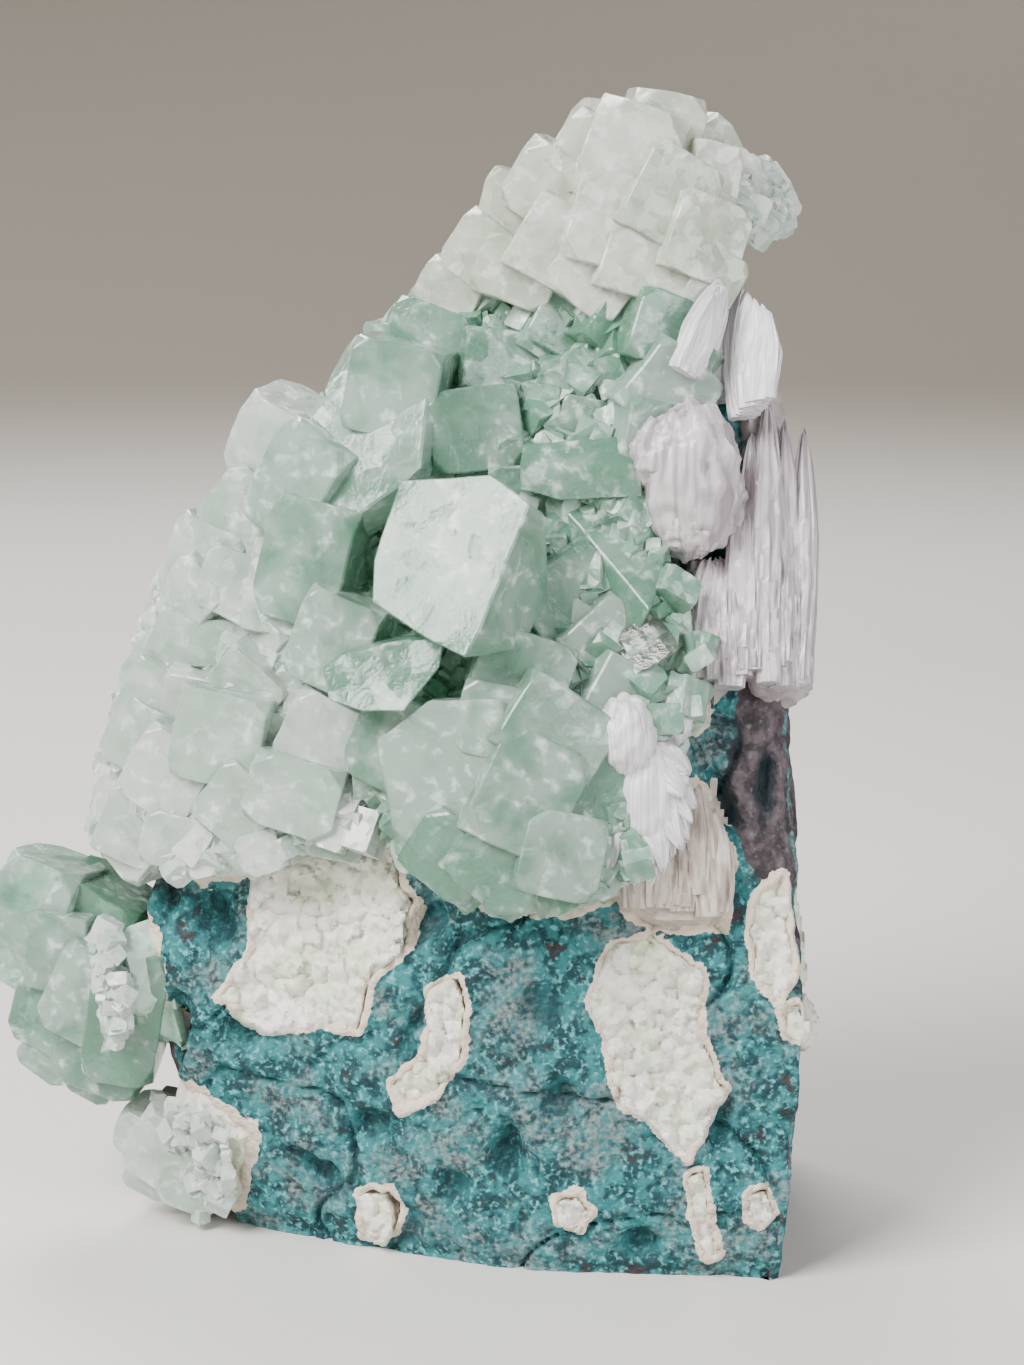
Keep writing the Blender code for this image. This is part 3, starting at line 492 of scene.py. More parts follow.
class Desk:
    """Small workbench on which one material's nodes are laid out."""

    def __init__(self, name: str) -> None:
        """Start an empty material.

        Args:
            name: name of the material.
        """
        self.mat = bpy.data.materials.new(name)
        self.mat.use_nodes = True
        self.tree = self.mat.node_tree
        self.tree.nodes.clear()
        self.out = self.tree.nodes.new("ShaderNodeOutputMaterial")
        self.shader = self.tree.nodes.new("ShaderNodeBsdfPrincipled")
        self.tree.links.new(self.shader.outputs[0], self.out.inputs["Surface"])
        self.place = self.add("ShaderNodeTexCoord").outputs["Object"]

    def add(self, kind: str, **fields: object) -> bpy.types.Node:
        """New node with some of its fields set."""
        node = self.tree.nodes.new(kind)
        for key, value in fields.items():
            setattr(node, key, value)
        return node

    def feed(self, node: bpy.types.Node, slot: str | int, value: object) -> None:
        """Link a socket, or set a plain value, on a node's input."""
        if isinstance(value, bpy.types.NodeSocket):
            self.tree.links.new(value, node.inputs[slot])
        elif isinstance(value, tuple) and len(value) == 3 and node.inputs[slot].type == "RGBA":
            node.inputs[slot].default_value = (*value, 1.0)
        else:
            node.inputs[slot].default_value = value

    def tag(self, name: str) -> bpy.types.NodeSocket:
        """Value of a point attribute."""
        return self.add("ShaderNodeAttribute", attribute_name=name).outputs["Fac"]

    def moved(self, shift: object, size: tuple[float, float, float] = (1.0, 1.0, 1.0),
              turn: tuple[float, float, float] = (0.0, 0.0, 0.0)) -> bpy.types.NodeSocket:
        """Object place turned, stretched and pushed along by a value.

        Args:
            shift: socket or number that moves the pattern, so that neighbours differ.
            size: stretch along the three axes.
            turn: turn in degrees.

        Returns:
            Vector socket.
        """
        maps = self.add("ShaderNodeMapping", vector_type="POINT")
        self.feed(maps, "Vector", self.place)
        maps.inputs["Rotation"].default_value = tuple(math.radians(a) for a in turn)
        maps.inputs["Scale"].default_value = tuple(1.0 / s for s in size)
        if not isinstance(shift, bpy.types.NodeSocket):
            return maps.outputs[0]
        push = self.add("ShaderNodeVectorMath", operation="ADD")
        self.feed(push, 0, maps.outputs[0])
        self.feed(push, 1, self.maths("MULTIPLY", shift, 0.37))
        return push.outputs[0]

    def noise(self, size: float, detail: float = 3.0, vector: object = None, twist: float = 0.0) -> bpy.types.NodeSocket:
        """Noise with lumps of a size in millimetres."""
        node = self.add("ShaderNodeTexNoise")
        self.feed(node, "Vector", vector or self.place)
        node.inputs["Scale"].default_value = 1.0 / (size * MM)
        node.inputs["Detail"].default_value = detail
        node.inputs["Distortion"].default_value = twist
        return node.outputs["Fac"]

    def cells(self, size: float, vector: object = None, out: str = "Distance") -> bpy.types.NodeSocket:
        """Cells of a size in millimetres."""
        node = self.add("ShaderNodeTexVoronoi")
        self.feed(node, "Vector", vector or self.place)
        node.inputs["Scale"].default_value = 1.0 / (size * MM)
        return node.outputs[out]

    def maths(self, operation: str, a: object, b: object = 0.0, c: object = 0.0) -> bpy.types.NodeSocket:
        """Plain arithmetic."""
        node = self.add("ShaderNodeMath", operation=operation)
        for i, value in enumerate((a, b, c)):
            self.feed(node, i, value)
        return node.outputs[0]

    def step(self, value: object, low: float, high: float) -> bpy.types.NodeSocket:
        """Soft step between two values."""
        node = self.add("ShaderNodeMapRange", interpolation_type="SMOOTHSTEP")
        self.feed(node, "Value", value)
        node.inputs["From Min"].default_value = low
        node.inputs["From Max"].default_value = high
        return node.outputs[0]

    def blend(self, amount: object, a: object, b: object) -> bpy.types.NodeSocket:
        """Mix of two colours."""
        node = self.add("ShaderNodeMix", data_type="RGBA")
        self.feed(node, "Factor", amount)
        for slot, value in ((6, a), (7, b)):
            if isinstance(value, bpy.types.NodeSocket):
                self.tree.links.new(value, node.inputs[slot])
            else:
                node.inputs[slot].default_value = (*value, 1.0)
        return node.outputs[2]

    def tilted(self, size: float, amount: float, vector: object = None) -> bpy.types.NodeSocket:
        """Normal leaning at random in each cell, as over a crust of tiny facets.

        Args:
            size: cell size in millimetres.
            amount: how far the facets lean.
            vector: place to read the cells from.

        Returns:
            Vector socket.
        """
        colour = self.cells(size, vector, "Color")
        lean = self.add("ShaderNodeVectorMath", operation="MULTIPLY_ADD")
        self.feed(lean, 0, colour)
        lean.inputs[1].default_value = (2.0 * amount,) * 3
        lean.inputs[2].default_value = (-amount,) * 3
        total = self.add("ShaderNodeVectorMath", operation="ADD")
        self.feed(total, 0, self.add("ShaderNodeNewGeometry").outputs["Normal"])
        self.feed(total, 1, lean.outputs[0])
        unit = self.add("ShaderNodeVectorMath", operation="NORMALIZE")
        self.feed(unit, 0, total.outputs[0])
        return unit.outputs[0]

    def bump(self, height: object, strength: float, depth: float, normal: object = None) -> bpy.types.NodeSocket:
        """Relief of a depth in millimetres."""
        node = self.add("ShaderNodeBump")
        node.inputs["Strength"].default_value = strength
        node.inputs["Distance"].default_value = depth * MM
        self.feed(node, "Height", height)
        if normal is not None:
            self.feed(node, "Normal", normal)
        return node.outputs[0]

    def absorb(self, colour: tuple[float, float, float], density: float) -> None:
        """Absorption inside the piece."""
        node = self.add("ShaderNodeVolumeAbsorption")
        node.inputs["Color"].default_value = (*colour, 1.0)
        node.inputs["Density"].default_value = density
        self.tree.links.new(node.outputs[0], self.out.inputs["Volume"])


class Finish:
    """A finish that makes its material once."""

    made: dict[str, bpy.types.Material] = {}

    def material(self) -> bpy.types.Material:
        """The finish's material, laid out at its first use."""
        name = self.name
        if name not in Finish.made:
            desk = Desk(name)
            self.lay(desk)
            Finish.made[name] = desk.mat
        return Finish.made[name]


@dataclass(frozen=True)
class RockFinish(Finish):
    """Dark basalt under a bubbly teal skin, with pale rims where crystals meet it."""

    name: str = "basalt_skin"
    teal: tuple = srgb(44, 112, 116)
    light: tuple = srgb(98, 166, 168)
    dark: tuple = srgb(14, 56, 62)
    grey: tuple = srgb(118, 124, 124)
    bare: tuple = srgb(88, 78, 84)
    black: tuple = srgb(48, 42, 46)
    rim: tuple = srgb(214, 198, 182)

    def lay(self, desk: Desk) -> None:
        """Lay out skin, bare rock, painted shade in the pits and cracks, and rims by their attributes and by noise."""
        fine = desk.noise(0.55, 4.0)
        middle = desk.noise(1.7, 4.0, twist=0.4)
        broad = desk.noise(6.0, 3.0)
        skin = desk.blend(desk.step(middle, 0.42, 0.6), self.dark, self.teal)
        skin = desk.blend(desk.step(fine, 0.5, 0.72), skin, self.light)
        dust = desk.maths("MULTIPLY", desk.step(broad, 0.46, 0.66), desk.step(fine, 0.36, 0.62))
        skin = desk.blend(desk.maths("MULTIPLY", dust, 0.75), skin, self.grey)
        stone = desk.blend(desk.step(middle, 0.4, 0.65), self.black, self.bare)
        stone = desk.blend(desk.maths("MULTIPLY", desk.step(fine, 0.55, 0.75), 0.5), stone, self.grey)
        spread = desk.maths("ADD", desk.tag("skin"), desk.maths("MULTIPLY", desk.maths("SUBTRACT", middle, 0.5), 1.5))
        spread = desk.maths("ADD", spread, desk.maths("MULTIPLY", desk.maths("SUBTRACT", broad, 0.5), 0.9))
        colour = desk.blend(desk.step(spread, 0.42, 0.58), stone, skin)
        # painted shade: the pits and cracks are darkened towards the dark teal
        shade = desk.maths("MULTIPLY", desk.tag("painted_shade"), 0.8)
        colour = desk.blend(shade, colour, self.dark)
        pale = desk.maths("ADD", desk.tag("rim"), desk.maths("MULTIPLY", desk.maths("SUBTRACT", fine, 0.5), 0.9))
        colour = desk.blend(desk.step(pale, 0.5, 0.62), colour, self.rim)
        desk.feed(desk.shader, "Base Color", colour)
        desk.feed(desk.shader, "Roughness", desk.maths("MULTIPLY_ADD", fine, 0.3, 0.6))
        desk.shader.inputs["Specular IOR Level"].default_value = 0.35
        bubbles = desk.maths("MULTIPLY", desk.cells(0.75), -1.0)
        relief = desk.bump(bubbles, 0.7, 0.35)
        relief = desk.bump(desk.noise(0.3, 4.0), 0.7, 0.22, relief)
        desk.feed(desk.shader, "Normal", relief)


@dataclass(frozen=True)
class CrystalFinish(Finish):
    """Clear to cloudy crystal with faceted, veined faces."""

    name: str = "apophyllite"
    pale: tuple = srgb(196, 222, 208)
    deep: tuple = srgb(120, 172, 146)
    veil: tuple = srgb(222, 232, 228)
    clear: float = 0.6
    rough: float = 0.12
    facet: float = 2.2
    lean: float = 0.08
    grit: float = 0.25
    absorb: tuple = (0.55, 0.83, 0.70)
    density: float = 60.0
    stretch: tuple = (1.0, 1.0, 1.0)
    turn: tuple = (0.0, 0.0, 0.0)

    def lay(self, desk: Desk) -> None:
        """Lay out a cloudy body, brighter veils and slightly leaning facets."""
        tone = desk.tag("tone")
        place = desk.moved(tone, self.stretch, self.turn)
        cloud = desk.noise(5.0, 4.0, place, 0.6)
        streak = desk.noise(1.4, 5.0, place, 0.3)
        body = desk.blend(desk.step(desk.maths("ADD", cloud, desk.maths("MULTIPLY", tone, 0.3)), 0.45, 0.85),
                          self.deep, self.pale)
        veil = desk.maths("MULTIPLY", desk.step(streak, 0.5, 0.72), desk.step(cloud, 0.35, 0.6))
        body = desk.blend(desk.maths("MULTIPLY", veil, 0.8), body, self.veil)
        desk.feed(desk.shader, "Base Color", body)
        glass = desk.maths("MULTIPLY_ADD", veil, -0.6 * self.clear, self.clear)
        desk.feed(desk.shader, "Transmission Weight", glass)
        desk.shader.inputs["IOR"].default_value = 1.535
        desk.feed(desk.shader, "Roughness", desk.maths("MULTIPLY_ADD", streak, 0.25, self.rough - 0.06))
        normal = desk.tilted(self.facet, self.lean, place)
        normal = desk.bump(streak, 0.35, 0.25, normal)
        normal = desk.bump(desk.noise(0.35, 3.0, place), self.grit, 0.1, normal)
        desk.feed(desk.shader, "Normal", normal)
        if self.density > 0.0:
            desk.absorb(self.absorb, self.density)


@dataclass(frozen=True)
class SugarFinish(Finish):
    """Opaque to milky crust of tiny crystals that glitter."""

    name: str = "pale_bed"
    pale: tuple = srgb(226, 230, 226)
    tint: tuple = srgb(178, 206, 190)
    stain: tuple = srgb(214, 200, 158)
    stained: float = 0.0
    clear: float = 0.0
    rough: float = 0.25
    facet: float = 0.9
    lean: float = 0.35

    def lay(self, desk: Desk) -> None:
        """Lay out tinted cells with leaning facets, and stains where they are asked for."""
        tone = desk.tag("tone")
        cell = desk.cells(self.facet, None, "Color")
        broad = desk.noise(5.0, 3.0)
        fine = desk.noise(0.5, 3.0)
        amount = desk.maths("ADD", desk.maths("MULTIPLY", broad, 1.1), desk.maths("MULTIPLY", tone, 0.7))
        body = desk.blend(desk.step(amount, 0.55, 1.15), self.pale, self.tint)
        body = desk.blend(desk.maths("MULTIPLY", desk.step(fine, 0.5, 0.75), 0.5), body, self.pale)
        if self.stained > 0.0:
            body = desk.blend(desk.maths("MULTIPLY", desk.step(desk.noise(7.0, 4.0), 0.52, 0.66), self.stained), body, self.stain)
        desk.feed(desk.shader, "Base Color", body)
        if self.clear > 0.0:
            desk.feed(desk.shader, "Transmission Weight", desk.maths("MULTIPLY_ADD", cell, 0.4 * self.clear, 0.8 * self.clear))
        desk.shader.inputs["IOR"].default_value = 1.53
        desk.feed(desk.shader, "Roughness", desk.maths("MULTIPLY_ADD", cell, 0.3, self.rough - 0.12))
        normal = desk.tilted(self.facet, self.lean)
        normal = desk.bump(fine, 0.4, 0.15, normal)
        desk.feed(desk.shader, "Normal", normal)


@dataclass(frozen=True)
class FibreFinish(Finish):
    """Pearly fibrous crystal that follows the piece's own map, fibres along the second axis."""

    name: str = "stilbite_white"
    light: tuple = srgb(240, 238, 240)
    shade: tuple = srgb(196, 190, 196)
    rough: float = 0.3
    clear: float = 0.12
    fibres: float = 60.0

    def lay(self, desk: Desk) -> None:
        """Lay out streaks along the fibres, pearly gloss and fine ribbing."""
        uv = desk.add("ShaderNodeUVMap", uv_map="fibre").outputs[0]
        push = desk.add("ShaderNodeVectorMath", operation="ADD")
        desk.feed(push, 0, uv)
        desk.feed(push, 1, desk.maths("MULTIPLY", desk.tag("tone"), 7.0))
        maps = desk.add("ShaderNodeMapping")
        desk.feed(maps, "Vector", push.outputs[0])
        maps.inputs["Scale"].default_value = (self.fibres, 2.5, 1.0)
        streak = desk.add("ShaderNodeTexNoise")
        desk.feed(streak, "Vector", maps.outputs[0])
        streak.inputs["Scale"].default_value = 1.0
        streak.inputs["Detail"].default_value = 4.0
        fine = desk.noise(0.6, 3.0)
        body = desk.blend(desk.step(streak.outputs["Fac"], 0.35, 0.62), self.shade, self.light)
        body = desk.blend(desk.maths("MULTIPLY", desk.step(desk.noise(3.0, 3.0), 0.5, 0.8), 0.35), body, self.shade)
        desk.feed(desk.shader, "Base Color", body)
        desk.feed(desk.shader, "Roughness", desk.maths("MULTIPLY_ADD", fine, 0.3, self.rough - 0.1))
        desk.feed(desk.shader, "Transmission Weight", desk.maths("MULTIPLY", desk.step(streak.outputs["Fac"], 0.3, 0.7), self.clear))
        desk.shader.inputs["IOR"].default_value = 1.5
        desk.shader.inputs["Coat Weight"].default_value = 0.3
        normal = desk.bump(streak.outputs["Fac"], 0.6, 0.25)
        normal = desk.bump(fine, 0.3, 0.1, normal)
        desk.feed(desk.shader, "Normal", normal)


@dataclass(frozen=True)
class FloorFinish(Finish):
    """Plain pale floor that turns into a darker grey-brown wall as it rises; the wall's darkness is partly its colour
    and partly painted shade for the dimmer light there.
    """

    name: str = "studio"
    floor: tuple = srgb(214, 211, 207)
    wall: tuple = srgb(128, 122, 112)

    def lay(self, desk: Desk) -> None:
        """Blend the floor into the wall by height."""
        height = desk.add("ShaderNodeSeparateXYZ")
        desk.feed(height, 0, desk.place)
        # the wall colour is darker than the floor: part grey-brown backdrop, part painted shade
        desk.feed(desk.shader, "Base Color", desk.blend(desk.step(height.outputs[2], 0.0, 0.05), self.floor, self.wall))
        desk.shader.inputs["Roughness"].default_value = 0.55


BASALT = RockFinish()
GREEN = CrystalFinish()
GREEN_BED = SugarFinish("green_bed", srgb(196, 216, 204), srgb(132, 176, 150), facet=1.6)
GREEN_SUGAR = CrystalFinish("green_sugar", clear=0.45, rough=0.16, facet=1.0, lean=0.18, density=0.0)
PALE = CrystalFinish("pale_blocks", srgb(222, 230, 224), srgb(182, 208, 192), clear=0.45, rough=0.16, facet=1.2,
                     lean=0.16, density=0.0)
PALE_BED = SugarFinish()
PALE_SUGAR = CrystalFinish("pale_sugar", srgb(232, 236, 232), srgb(196, 216, 204), clear=0.35, rough=0.18, facet=0.9,
                           lean=0.2, density=0.0)
SUMMIT = CrystalFinish("summit_blocks", srgb(232, 232, 224), srgb(198, 210, 190), clear=0.4, rough=0.18, facet=1.2,
                       lean=0.18, density=0.0)
SUMMIT_BED = SugarFinish("summit_bed", srgb(232, 230, 222), srgb(196, 208, 186), stained=0.7)
FILLING = SugarFinish("vein_filling", srgb(226, 222, 216), srgb(192, 206, 170), facet=0.7, lean=0.4, rough=0.4)
STILBITE = FibreFinish()
LILAC = FibreFinish("stilbite_lilac", srgb(214, 206, 210), srgb(150, 140, 146), fibres=30.0, clear=0.2)
BEIGE = FibreFinish("stilbite_beige", srgb(206, 196, 186), srgb(150, 138, 130), fibres=30.0, clear=0.15)
STUDIO = FloorFinish()


# --- surfaces round the wedge ---------------------------------------------------------------


@dataclass
class Wrap:
    """Grid of points round the wedge: turns about a leaning axis, at rising heights.

    A point is the axis point at its height plus a level direction times the wedge's reach there.
    """

    columns: int = 480
    rows: int = 190
    low_axis: tuple[float, float] = (6.0, 3.0)
    top_axis: tuple[float, float] = (27.0, 9.0)
    top: float = 103.5
    split: float = 62.0
    share: float = 0.78
    weights: tuple[float, float, float, float] = (2.2, 1.6, 0.8, 0.8)

    def heights(self) -> np.ndarray:
        """Heights: share of the rows evenly below the split, the rest above it."""
        lower = int(self.rows * self.share)
        return np.concatenate([np.linspace(0.0, self.split, lower, endpoint=False),
                               np.linspace(self.split, self.top, self.rows - lower)])

    def turns(self) -> np.ndarray:
        """Angles spaced evenly along the weighted outline at a middle height; front and right sides are finer."""
        fine = np.linspace(0.0, 2.0 * math.pi, 4001)
        way = np.stack([np.cos(fine), np.sin(fine), np.zeros_like(fine)], -1)
        start = np.array((*self.low_axis, 25.0))
        ring = start + way * core_reach(np.broadcast_to(start, way.shape), way)[:, None]
        front, right, rear, left = self.weights
        weight = np.select([fine > math.radians(318), fine > math.radians(205), fine > math.radians(150),
                            fine > math.radians(40)], [right, front, left, rear], right)
        step = np.linalg.norm(np.diff(ring, axis=0), axis=1) * weight[1:]
        total = np.concatenate([[0.0], np.cumsum(step)])
        return np.interp(np.linspace(0.0, total[-1], self.columns, endpoint=False), total, fine)

    def surface(self, grow: float = 0.0) -> tuple[np.ndarray, np.ndarray, np.ndarray]:
        """Points of the grid, their level directions and their outward normals.

        Args:
            grow: how far the wedge's planes are moved outwards.

        Returns:
            Points, directions and unit normals, each rows by columns by three.
        """
        z = self.heights()[:, None]
        turn = self.turns()[None, :]
        way = np.stack([np.cos(turn), np.sin(turn), np.zeros_like(turn)], -1) + np.zeros((len(z), 1, 1))
        t = z / self.top
        axis = np.stack([self.low_axis[k] + (self.top_axis[k] - self.low_axis[k]) * t for k in (0, 1)] + [z], -1)
        start = axis + np.zeros((1, turn.shape[1], 1))
        points = start + way * core_reach(start, way, grow)[..., None]
        round_way = np.roll(points, -1, axis=1) - np.roll(points, 1, axis=1)
        normal = np.cross(round_way, np.gradient(points, axis=0))
        normal /= np.maximum(np.linalg.norm(normal, axis=-1), 1e-9)[..., None]
        return points, way, normal


def facing(normal: np.ndarray, points: np.ndarray) -> np.ndarray:
    """How far normals point at the sketch's viewpoint, from -1 to 1."""
    sight = points - SKETCH.eye
    return -(normal * sight).sum(-1) / np.linalg.norm(sight, axis=-1)


@dataclass
class BasaltPiece:
    """The wedge of basalt: worn planes, bubbly skin, pockets round the fillings, pits and cracks."""

    wrap: Wrap = field(default_factory=Wrap)
    skin: float = 0.45
    pocket: float = 2.6

    def relief(self, points: np.ndarray, normal: np.ndarray) -> tuple[np.ndarray, dict[str, np.ndarray]]:
        """Outward move of each point, and its attributes.

        Broad and middle noise wear the faces, round cells raise the skin's bubbles, outlines of the fillings
        sink pockets with raised lips, ellipses sink pits, and thin bands of near-zero noise cut cracks.

        Args:
            points: grid of points.
            normal: their outward normals.

        Returns:
            Moves in millimetres and the attributes skin, hollow and rim.
        """
        across, down = SKETCH.seen(points)
        front = smooth(0.02, 0.3, facing(normal, points))
        broad = GRAIN.layered(points / 13.0, 2)
        middle = GRAIN.layered(points / 4.6 + 5.0, 3)
        near, owner = GRAIN.cells(points / 2.3 + 9.0)
        fine, _ = GRAIN.cells(points / 1.15 + 3.0)
        bubble = np.sqrt(np.clip(1.0 - (near / 0.8) ** 2, 0.0, 1.0))
        bead = np.sqrt(np.clip(1.0 - (fine / 0.8) ** 2, 0.0, 1.0))
        wobble = 6.0 * GRAIN.layered(points / 2.2 + 31.0, 3)
        bare = np.maximum(smooth(6.0, -6.0, outside(across, down, BARE_AREA) + wobble) * front,
                          1.0 - smooth(0.0, 0.25, facing(normal, points)))
        move = -self.skin - 0.9 * (0.5 - 0.5 * broad) - 0.9 * (0.5 - 0.5 * middle)
        move += (0.5 * bubble + 0.22 * bead) * (1.0 - 0.6 * bare) - 0.45
        crack = np.abs(GRAIN.soft(points / 15.0 + 50.0))
        move -= 0.9 * smooth(0.035, 0.0, crack) * front
        # painted shade along the cracks, for the rock's colour
        painted_shade = smooth(0.04, 0.0, crack) * front
        rim = np.zeros_like(move)
        for outline in FILLINGS.values():
            gap = outside(across, down, outline) + wobble * 0.6
            sunk = smooth(2.0, -9.0, gap) * front
            move -= self.pocket * sunk
            rim = np.maximum(rim, smooth(11.0, 5.0, gap) * front)
            move += 0.35 * smooth(12.0, 3.0, gap) * (1.0 - sunk) * front
        for outline in (GREEN_AREA, PALE_AREA, OUTLIER_AREA, FOOT_AREA, LEDGE_AREA):
            rim = np.maximum(rim, smooth(16.0, 8.0, outside(across, down, outline) + wobble) * front)
        for px, py, wide, high, roll, depth in PITS:
            c, s = math.cos(math.radians(roll)), math.sin(math.radians(roll))
            dx, dy = (across - px) / 10.0, (py - down) / 10.0
            ring = np.hypot((c * dx - s * dy) / (wide / 2.0), (s * dx + c * dy) / (high / 2.0)) + 0.03 * wobble
            pit = smooth(1.0, 0.25, ring) * front
            move -= depth * pit
            # painted shade inside the pits, for the rock's colour
            painted_shade = np.maximum(painted_shade, smooth(0.95, 0.4, ring) * front)
        move -= 1.2 * smooth(2.4, 0.0, points[..., 2]) * (0.6 + 0.4 * middle)
        skin = 1.0 - bare * 0.9 - 0.25 * smooth(0.55, 0.8, owner)
        return move, {"skin": skin, "painted_shade": painted_shade * 0.8, "rim": rim}

    def build(self) -> bpy.types.Object:
        """Make the piece: the moved grid, closed by a point on the axis at the top and the bottom."""
        points, way, normal = self.wrap.surface()
        move, tags = self.relief(points, normal)
        points = points + normal * move[..., None]
        points[0, :, 2] = 0.0
        points[..., 2] = np.maximum(points[..., 2], 0.0)
        rows, columns = points.shape[:2]
        faces = grid_faces(rows, columns, True)
        ends = np.array([(*self.wrap.low_axis, 0.0), (*self.wrap.top_axis, self.wrap.top + 0.5)])
        ring = np.arange(columns)
        ahead = np.roll(ring, -1)
        base = (rows - 1) * columns
        caps = [(a, c, b) for a, b, c in zip(ahead.tolist(), ring.tolist(), [rows * columns] * columns)]
        caps += [(base + b, base + a, rows * columns + 1) for a, b in zip(ahead.tolist(), ring.tolist())]
        verts = np.concatenate([points.reshape(-1, 3), ends])
        tags = {k: np.append(v.ravel(), (v.mean(), v.mean())) for k, v in tags.items()}
        obj = make_piece("basalt", verts, faces.tolist() + caps, BASALT, tags)
        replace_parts(obj, "basalt_matrix")
        return obj


@dataclass
class Bed:
    """Crust that coats the wedge inside an outline: the wrap's grid raised by a thickness with blocky cells."""

    name: str
    outline: tuple
    thick: float
    far: float
    finish: Finish
    slot: str
    cell: float = 3.0
    rough: float = 1.2
    wrap: Wrap = field(default_factory=lambda: Wrap(360, 170, split=62.0, share=0.5, weights=(1.6, 1.2, 0.6, 1.6)))

    def build(self) -> bpy.types.Object:
        """Make the crust as a closed shell whose border dips into the rock."""
        points, way, normal = self.wrap.surface()
        across, down = SKETCH.seen(points)
        wobble = 7.0 * GRAIN.layered(points / 2.6 + 11.0, 3)
        gap = np.maximum(outside(across, down, self.outline) + wobble, (points[..., 1] - self.far) * 10.0)
        near, owner = GRAIN.cells(points / self.cell + 2.0)
        rise = self.thick - self.rough * (near + 0.6 * owner)
        move = np.where(gap < 14.0, -2.4 + (rise + 2.4) * smooth(9.0, -8.0, gap), -2.4)
        moved = points + normal * move[..., None]
        faces = grid_faces(*points.shape[:2], True)
        keep = (gap.ravel()[faces] < 12.0).any(1)
        verts, quads = walled(moved.reshape(-1, 3), faces[keep], (-normal * 1.2).reshape(-1, 3))
        obj = make_piece(self.name, verts, quads, self.finish, {"tone": np.full(len(verts), 0.4)}, 40.0)
        return obj


# --- crystals -------------------------------------------------------------------------------


def block_points(spec: tuple) -> np.ndarray:
    """Corners of a turned box with its corners cut, in millimetres.

    Args:
        spec: across, down, back, wide, deep, high, tilt, roll, yaw and corner cut.

    Returns:
        Points whose hull is the block.
    """
    across, down, back, wide, deep, high, tilt, roll, yaw, corner = spec
    signs = np.array(list(itertools.product((-1.0, 1.0), repeat=3)))
    half = np.array((wide, deep, high)) / 2.0
    if corner > 0.0:
        cut = np.concatenate([signs * (1.0 - np.eye(3)[k] * 3.0 * corner) for k in range(3)])
        signs = cut
    turn = np.array(Euler((math.radians(tilt), math.radians(roll), math.radians(yaw)), "XYZ").to_matrix())
    return (signs * half) @ turn.T + SKETCH.at(across, down, back)


@dataclass(frozen=True)
class Facet:
    """Flat face seen on the sketch: its corners, and three places with their depths that fix its plane."""

    corners: tuple
    lean: tuple

    def points(self) -> np.ndarray:
        """Corners in space: where their sight lines meet the plane."""
        a, b, c = (SKETCH.at(*p) for p in self.lean)
        normal = np.cross(b - a, c - a)
        places = np.array(self.corners, float)
        ray = SKETCH.rays(places[:, 0], places[:, 1])
        return SKETCH.eye + ray * (((a - SKETCH.eye) @ normal) / (ray @ normal))[:, None]


@dataclass(frozen=True)
class Shaped:
    """Crystal given by the faces that show; its body runs back from them."""

    facets: tuple
    deep: float = 9.0
    shrink: float = 0.8
    sink: float = 0.0
    tone: float = 0.5

    def points(self) -> np.ndarray:
        """Points whose hull is the crystal: the faces' corners and the same corners further back."""
        front = np.concatenate([f.points() for f in self.facets])
        middle = front.mean(0)
        back = middle + (front - middle) * np.array((self.shrink, 0.3, self.shrink))
        back[:, 1] += self.deep
        back[:, 2] -= self.sink
        return np.concatenate([front, back])


def refined(bm: bmesh.types.BMesh, cell: float) -> bmesh.types.BMesh:
    """Split edges until none is much longer than a cell.

    Args:
        bm: closed solid, changed in place.
        cell: wanted edge length in millimetres.

    Returns:
        The same bmesh, triangulated.
    """
    bmesh.ops.triangulate(bm, faces=bm.faces)
    for _ in range(5):
        long = [e for e in bm.edges if e.calc_length() > cell * 1.5]
        if not long:
            break
        bmesh.ops.subdivide_edges(bm, edges=long, cuts=1)
        bmesh.ops.triangulate(bm, faces=[f for f in bm.faces if len(f.verts) > 3])
    return bm


@dataclass
class CrystalGroup:
    """Large crystals grown into each other, one closed shell each, in one piece."""

    name: str
    solids: list
    finish: Finish
    slot: str
    bevel: float = 0.16
    cell: float = 1.3
    wave: float = 0.12
    crease: float = 22.0

    def build(self) -> bpy.types.Object:
        """Make the piece: chamfered hulls, finely divided and moved slightly by noise."""
        verts, faces, tones = [], [], []
        count = 0
        for i, (points, tone) in enumerate(self.solids):
            bm = refined(merged_hull(points, self.bevel), self.cell)
            bm.verts.index_update()
            co = np.array([v.co for v in bm.verts])
            faces += [[v.index + count for v in f.verts] for f in bm.faces]
            bm.free()
            move = np.stack([GRAIN.soft(co / s + k) for k, s in ((3.0 + i, 3.4), (21.0 + i, 3.0), (57.0 + i, 3.7))], -1)
            verts.append(co + move * self.wave)
            tones.append(np.full(len(co), tone))
            count += len(co)
        obj = make_piece(self.name, np.concatenate(verts), faces, self.finish, {"tone": np.concatenate(tones)}, self.crease)
        return obj


